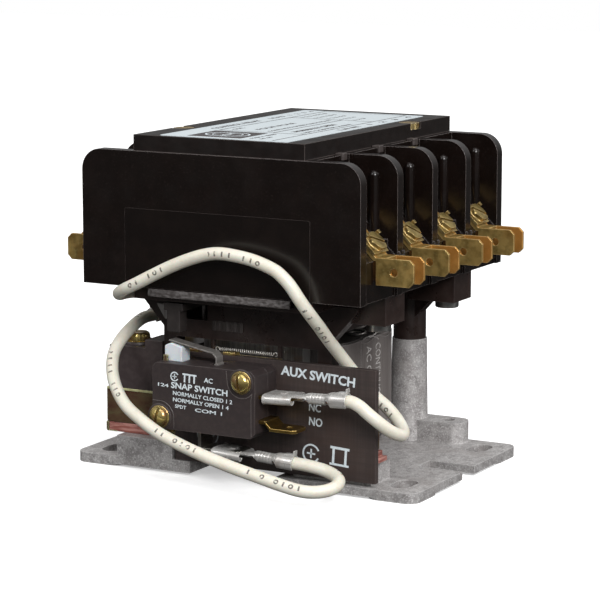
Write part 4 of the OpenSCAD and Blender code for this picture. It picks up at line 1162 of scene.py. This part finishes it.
threads = Shape()
for points, width, sides in (
        ([(20.4, -1.5, 32.2), (21.2, 0.3, 33.0), (21.9, 1.6, 34.3), (21.6, 2.2, 35.6), (20.9, 2.6, 36.3),
          (20.3, 2.4, 35.9)], 0.2, 8),
        ([(19.6, -3.0, 32.0), (20.6, -2.2, 32.6), (21.3, -0.4, 32.4), (21.8, 0.9, 31.6)], 0.14, 6)):
    threads.sweep(smooth_path(points), width, sides)
threads.piece("tape_threads", "coil_tape", look="thread_grey", sharp=60)


# ---- floor, light and backdrop
def add_floor():
    """Pale floor that takes the contact shadow and sends no light back at the object."""
    shape = bmesh.new()
    bmesh.ops.create_grid(shape, x_segments=1, y_segments=1, size=1.6)
    data = bpy.data.meshes.new("floor")
    shape.to_mesh(data)
    shape.free()
    floor = add_object("floor", data)
    floor.location.z = -0.05 * MM
    floor.visible_glossy = False
    floor.visible_diffuse = False
    look = Look("floor_white", (0.80, 0.80, 0.80), 0.9, specular=0.0).mottle(4, (0.79, 0.79, 0.79))
    look.set(Emission_Color=(1, 1, 1, 1), Emission_Strength=0.42)
    data.materials.append(look.material)


def add_light(name, kind, place, power, target, **settings):
    data = bpy.data.lights.new(name, kind)
    data.energy = power
    for key, value in settings.items():
        setattr(data, key, value)
    light = add_object(name, data)
    light.location = place
    look_along(light, Vector(target) - Vector(place))


def add_world():
    """White behind the object, and light round it that fades below the horizon."""
    world = bpy.data.worlds.new("studio")
    bpy.context.scene.world = world
    world.use_nodes = True
    nodes = world.node_tree.nodes
    nodes.clear()
    rays = nodes.new("ShaderNodeLightPath")
    around = nodes.new("ShaderNodeTexCoord").outputs["Generated"]
    split = fill(nodes.new("ShaderNodeSeparateXYZ"), Vector=around)

    def white(strength):
        made = fill(nodes.new("ShaderNodeBackground"), Color=(1, 1, 1, 1), Strength=strength)
        return made.outputs[0]

    def fade(low, high):
        made = fill(nodes.new("ShaderNodeMapRange"), Value=split.outputs["Z"], From_Min=-0.3, From_Max=0.6,
                    To_Min=low, To_Max=high)
        made.interpolation_type = "SMOOTHSTEP"
        return white(made.outputs["Result"])

    def either(test, no, yes):
        made = nodes.new("ShaderNodeMixShader")
        for source, target in zip((rays.outputs[test], no, yes), made.inputs):
            world.node_tree.links.new(source, target)
        return made.outputs[0]

    others = either("Is Glossy Ray", fade(0.16, 0.7), fade(0.015, 0.5))
    fill(nodes.new("ShaderNodeOutputWorld"), Surface=either("Is Camera Ray", others, white(1.0)))


add_floor()
add_world()
add_light("overhead", "SUN", (0.25, -0.2, 1.0), 1.15, (0, 0, 0), angle=radians(50))
for light_name, place, power, width, height in (
        ("front_right", (0.70, -0.70, 0.60), 10.0, 0.35, 0.45),
        ("front_left", (-0.55, -0.80, 0.70), 2.4, 0.3, 0.4),
        ("side_right", (0.9, 0.2, 0.30), 1.6, 0.25, 0.5)):
    add_light(light_name, "AREA", place, power, (0, 0, 0.04), shape="RECTANGLE", size=width, size_y=height)
bpy.context.scene.view_settings.view_transform = "Standard"
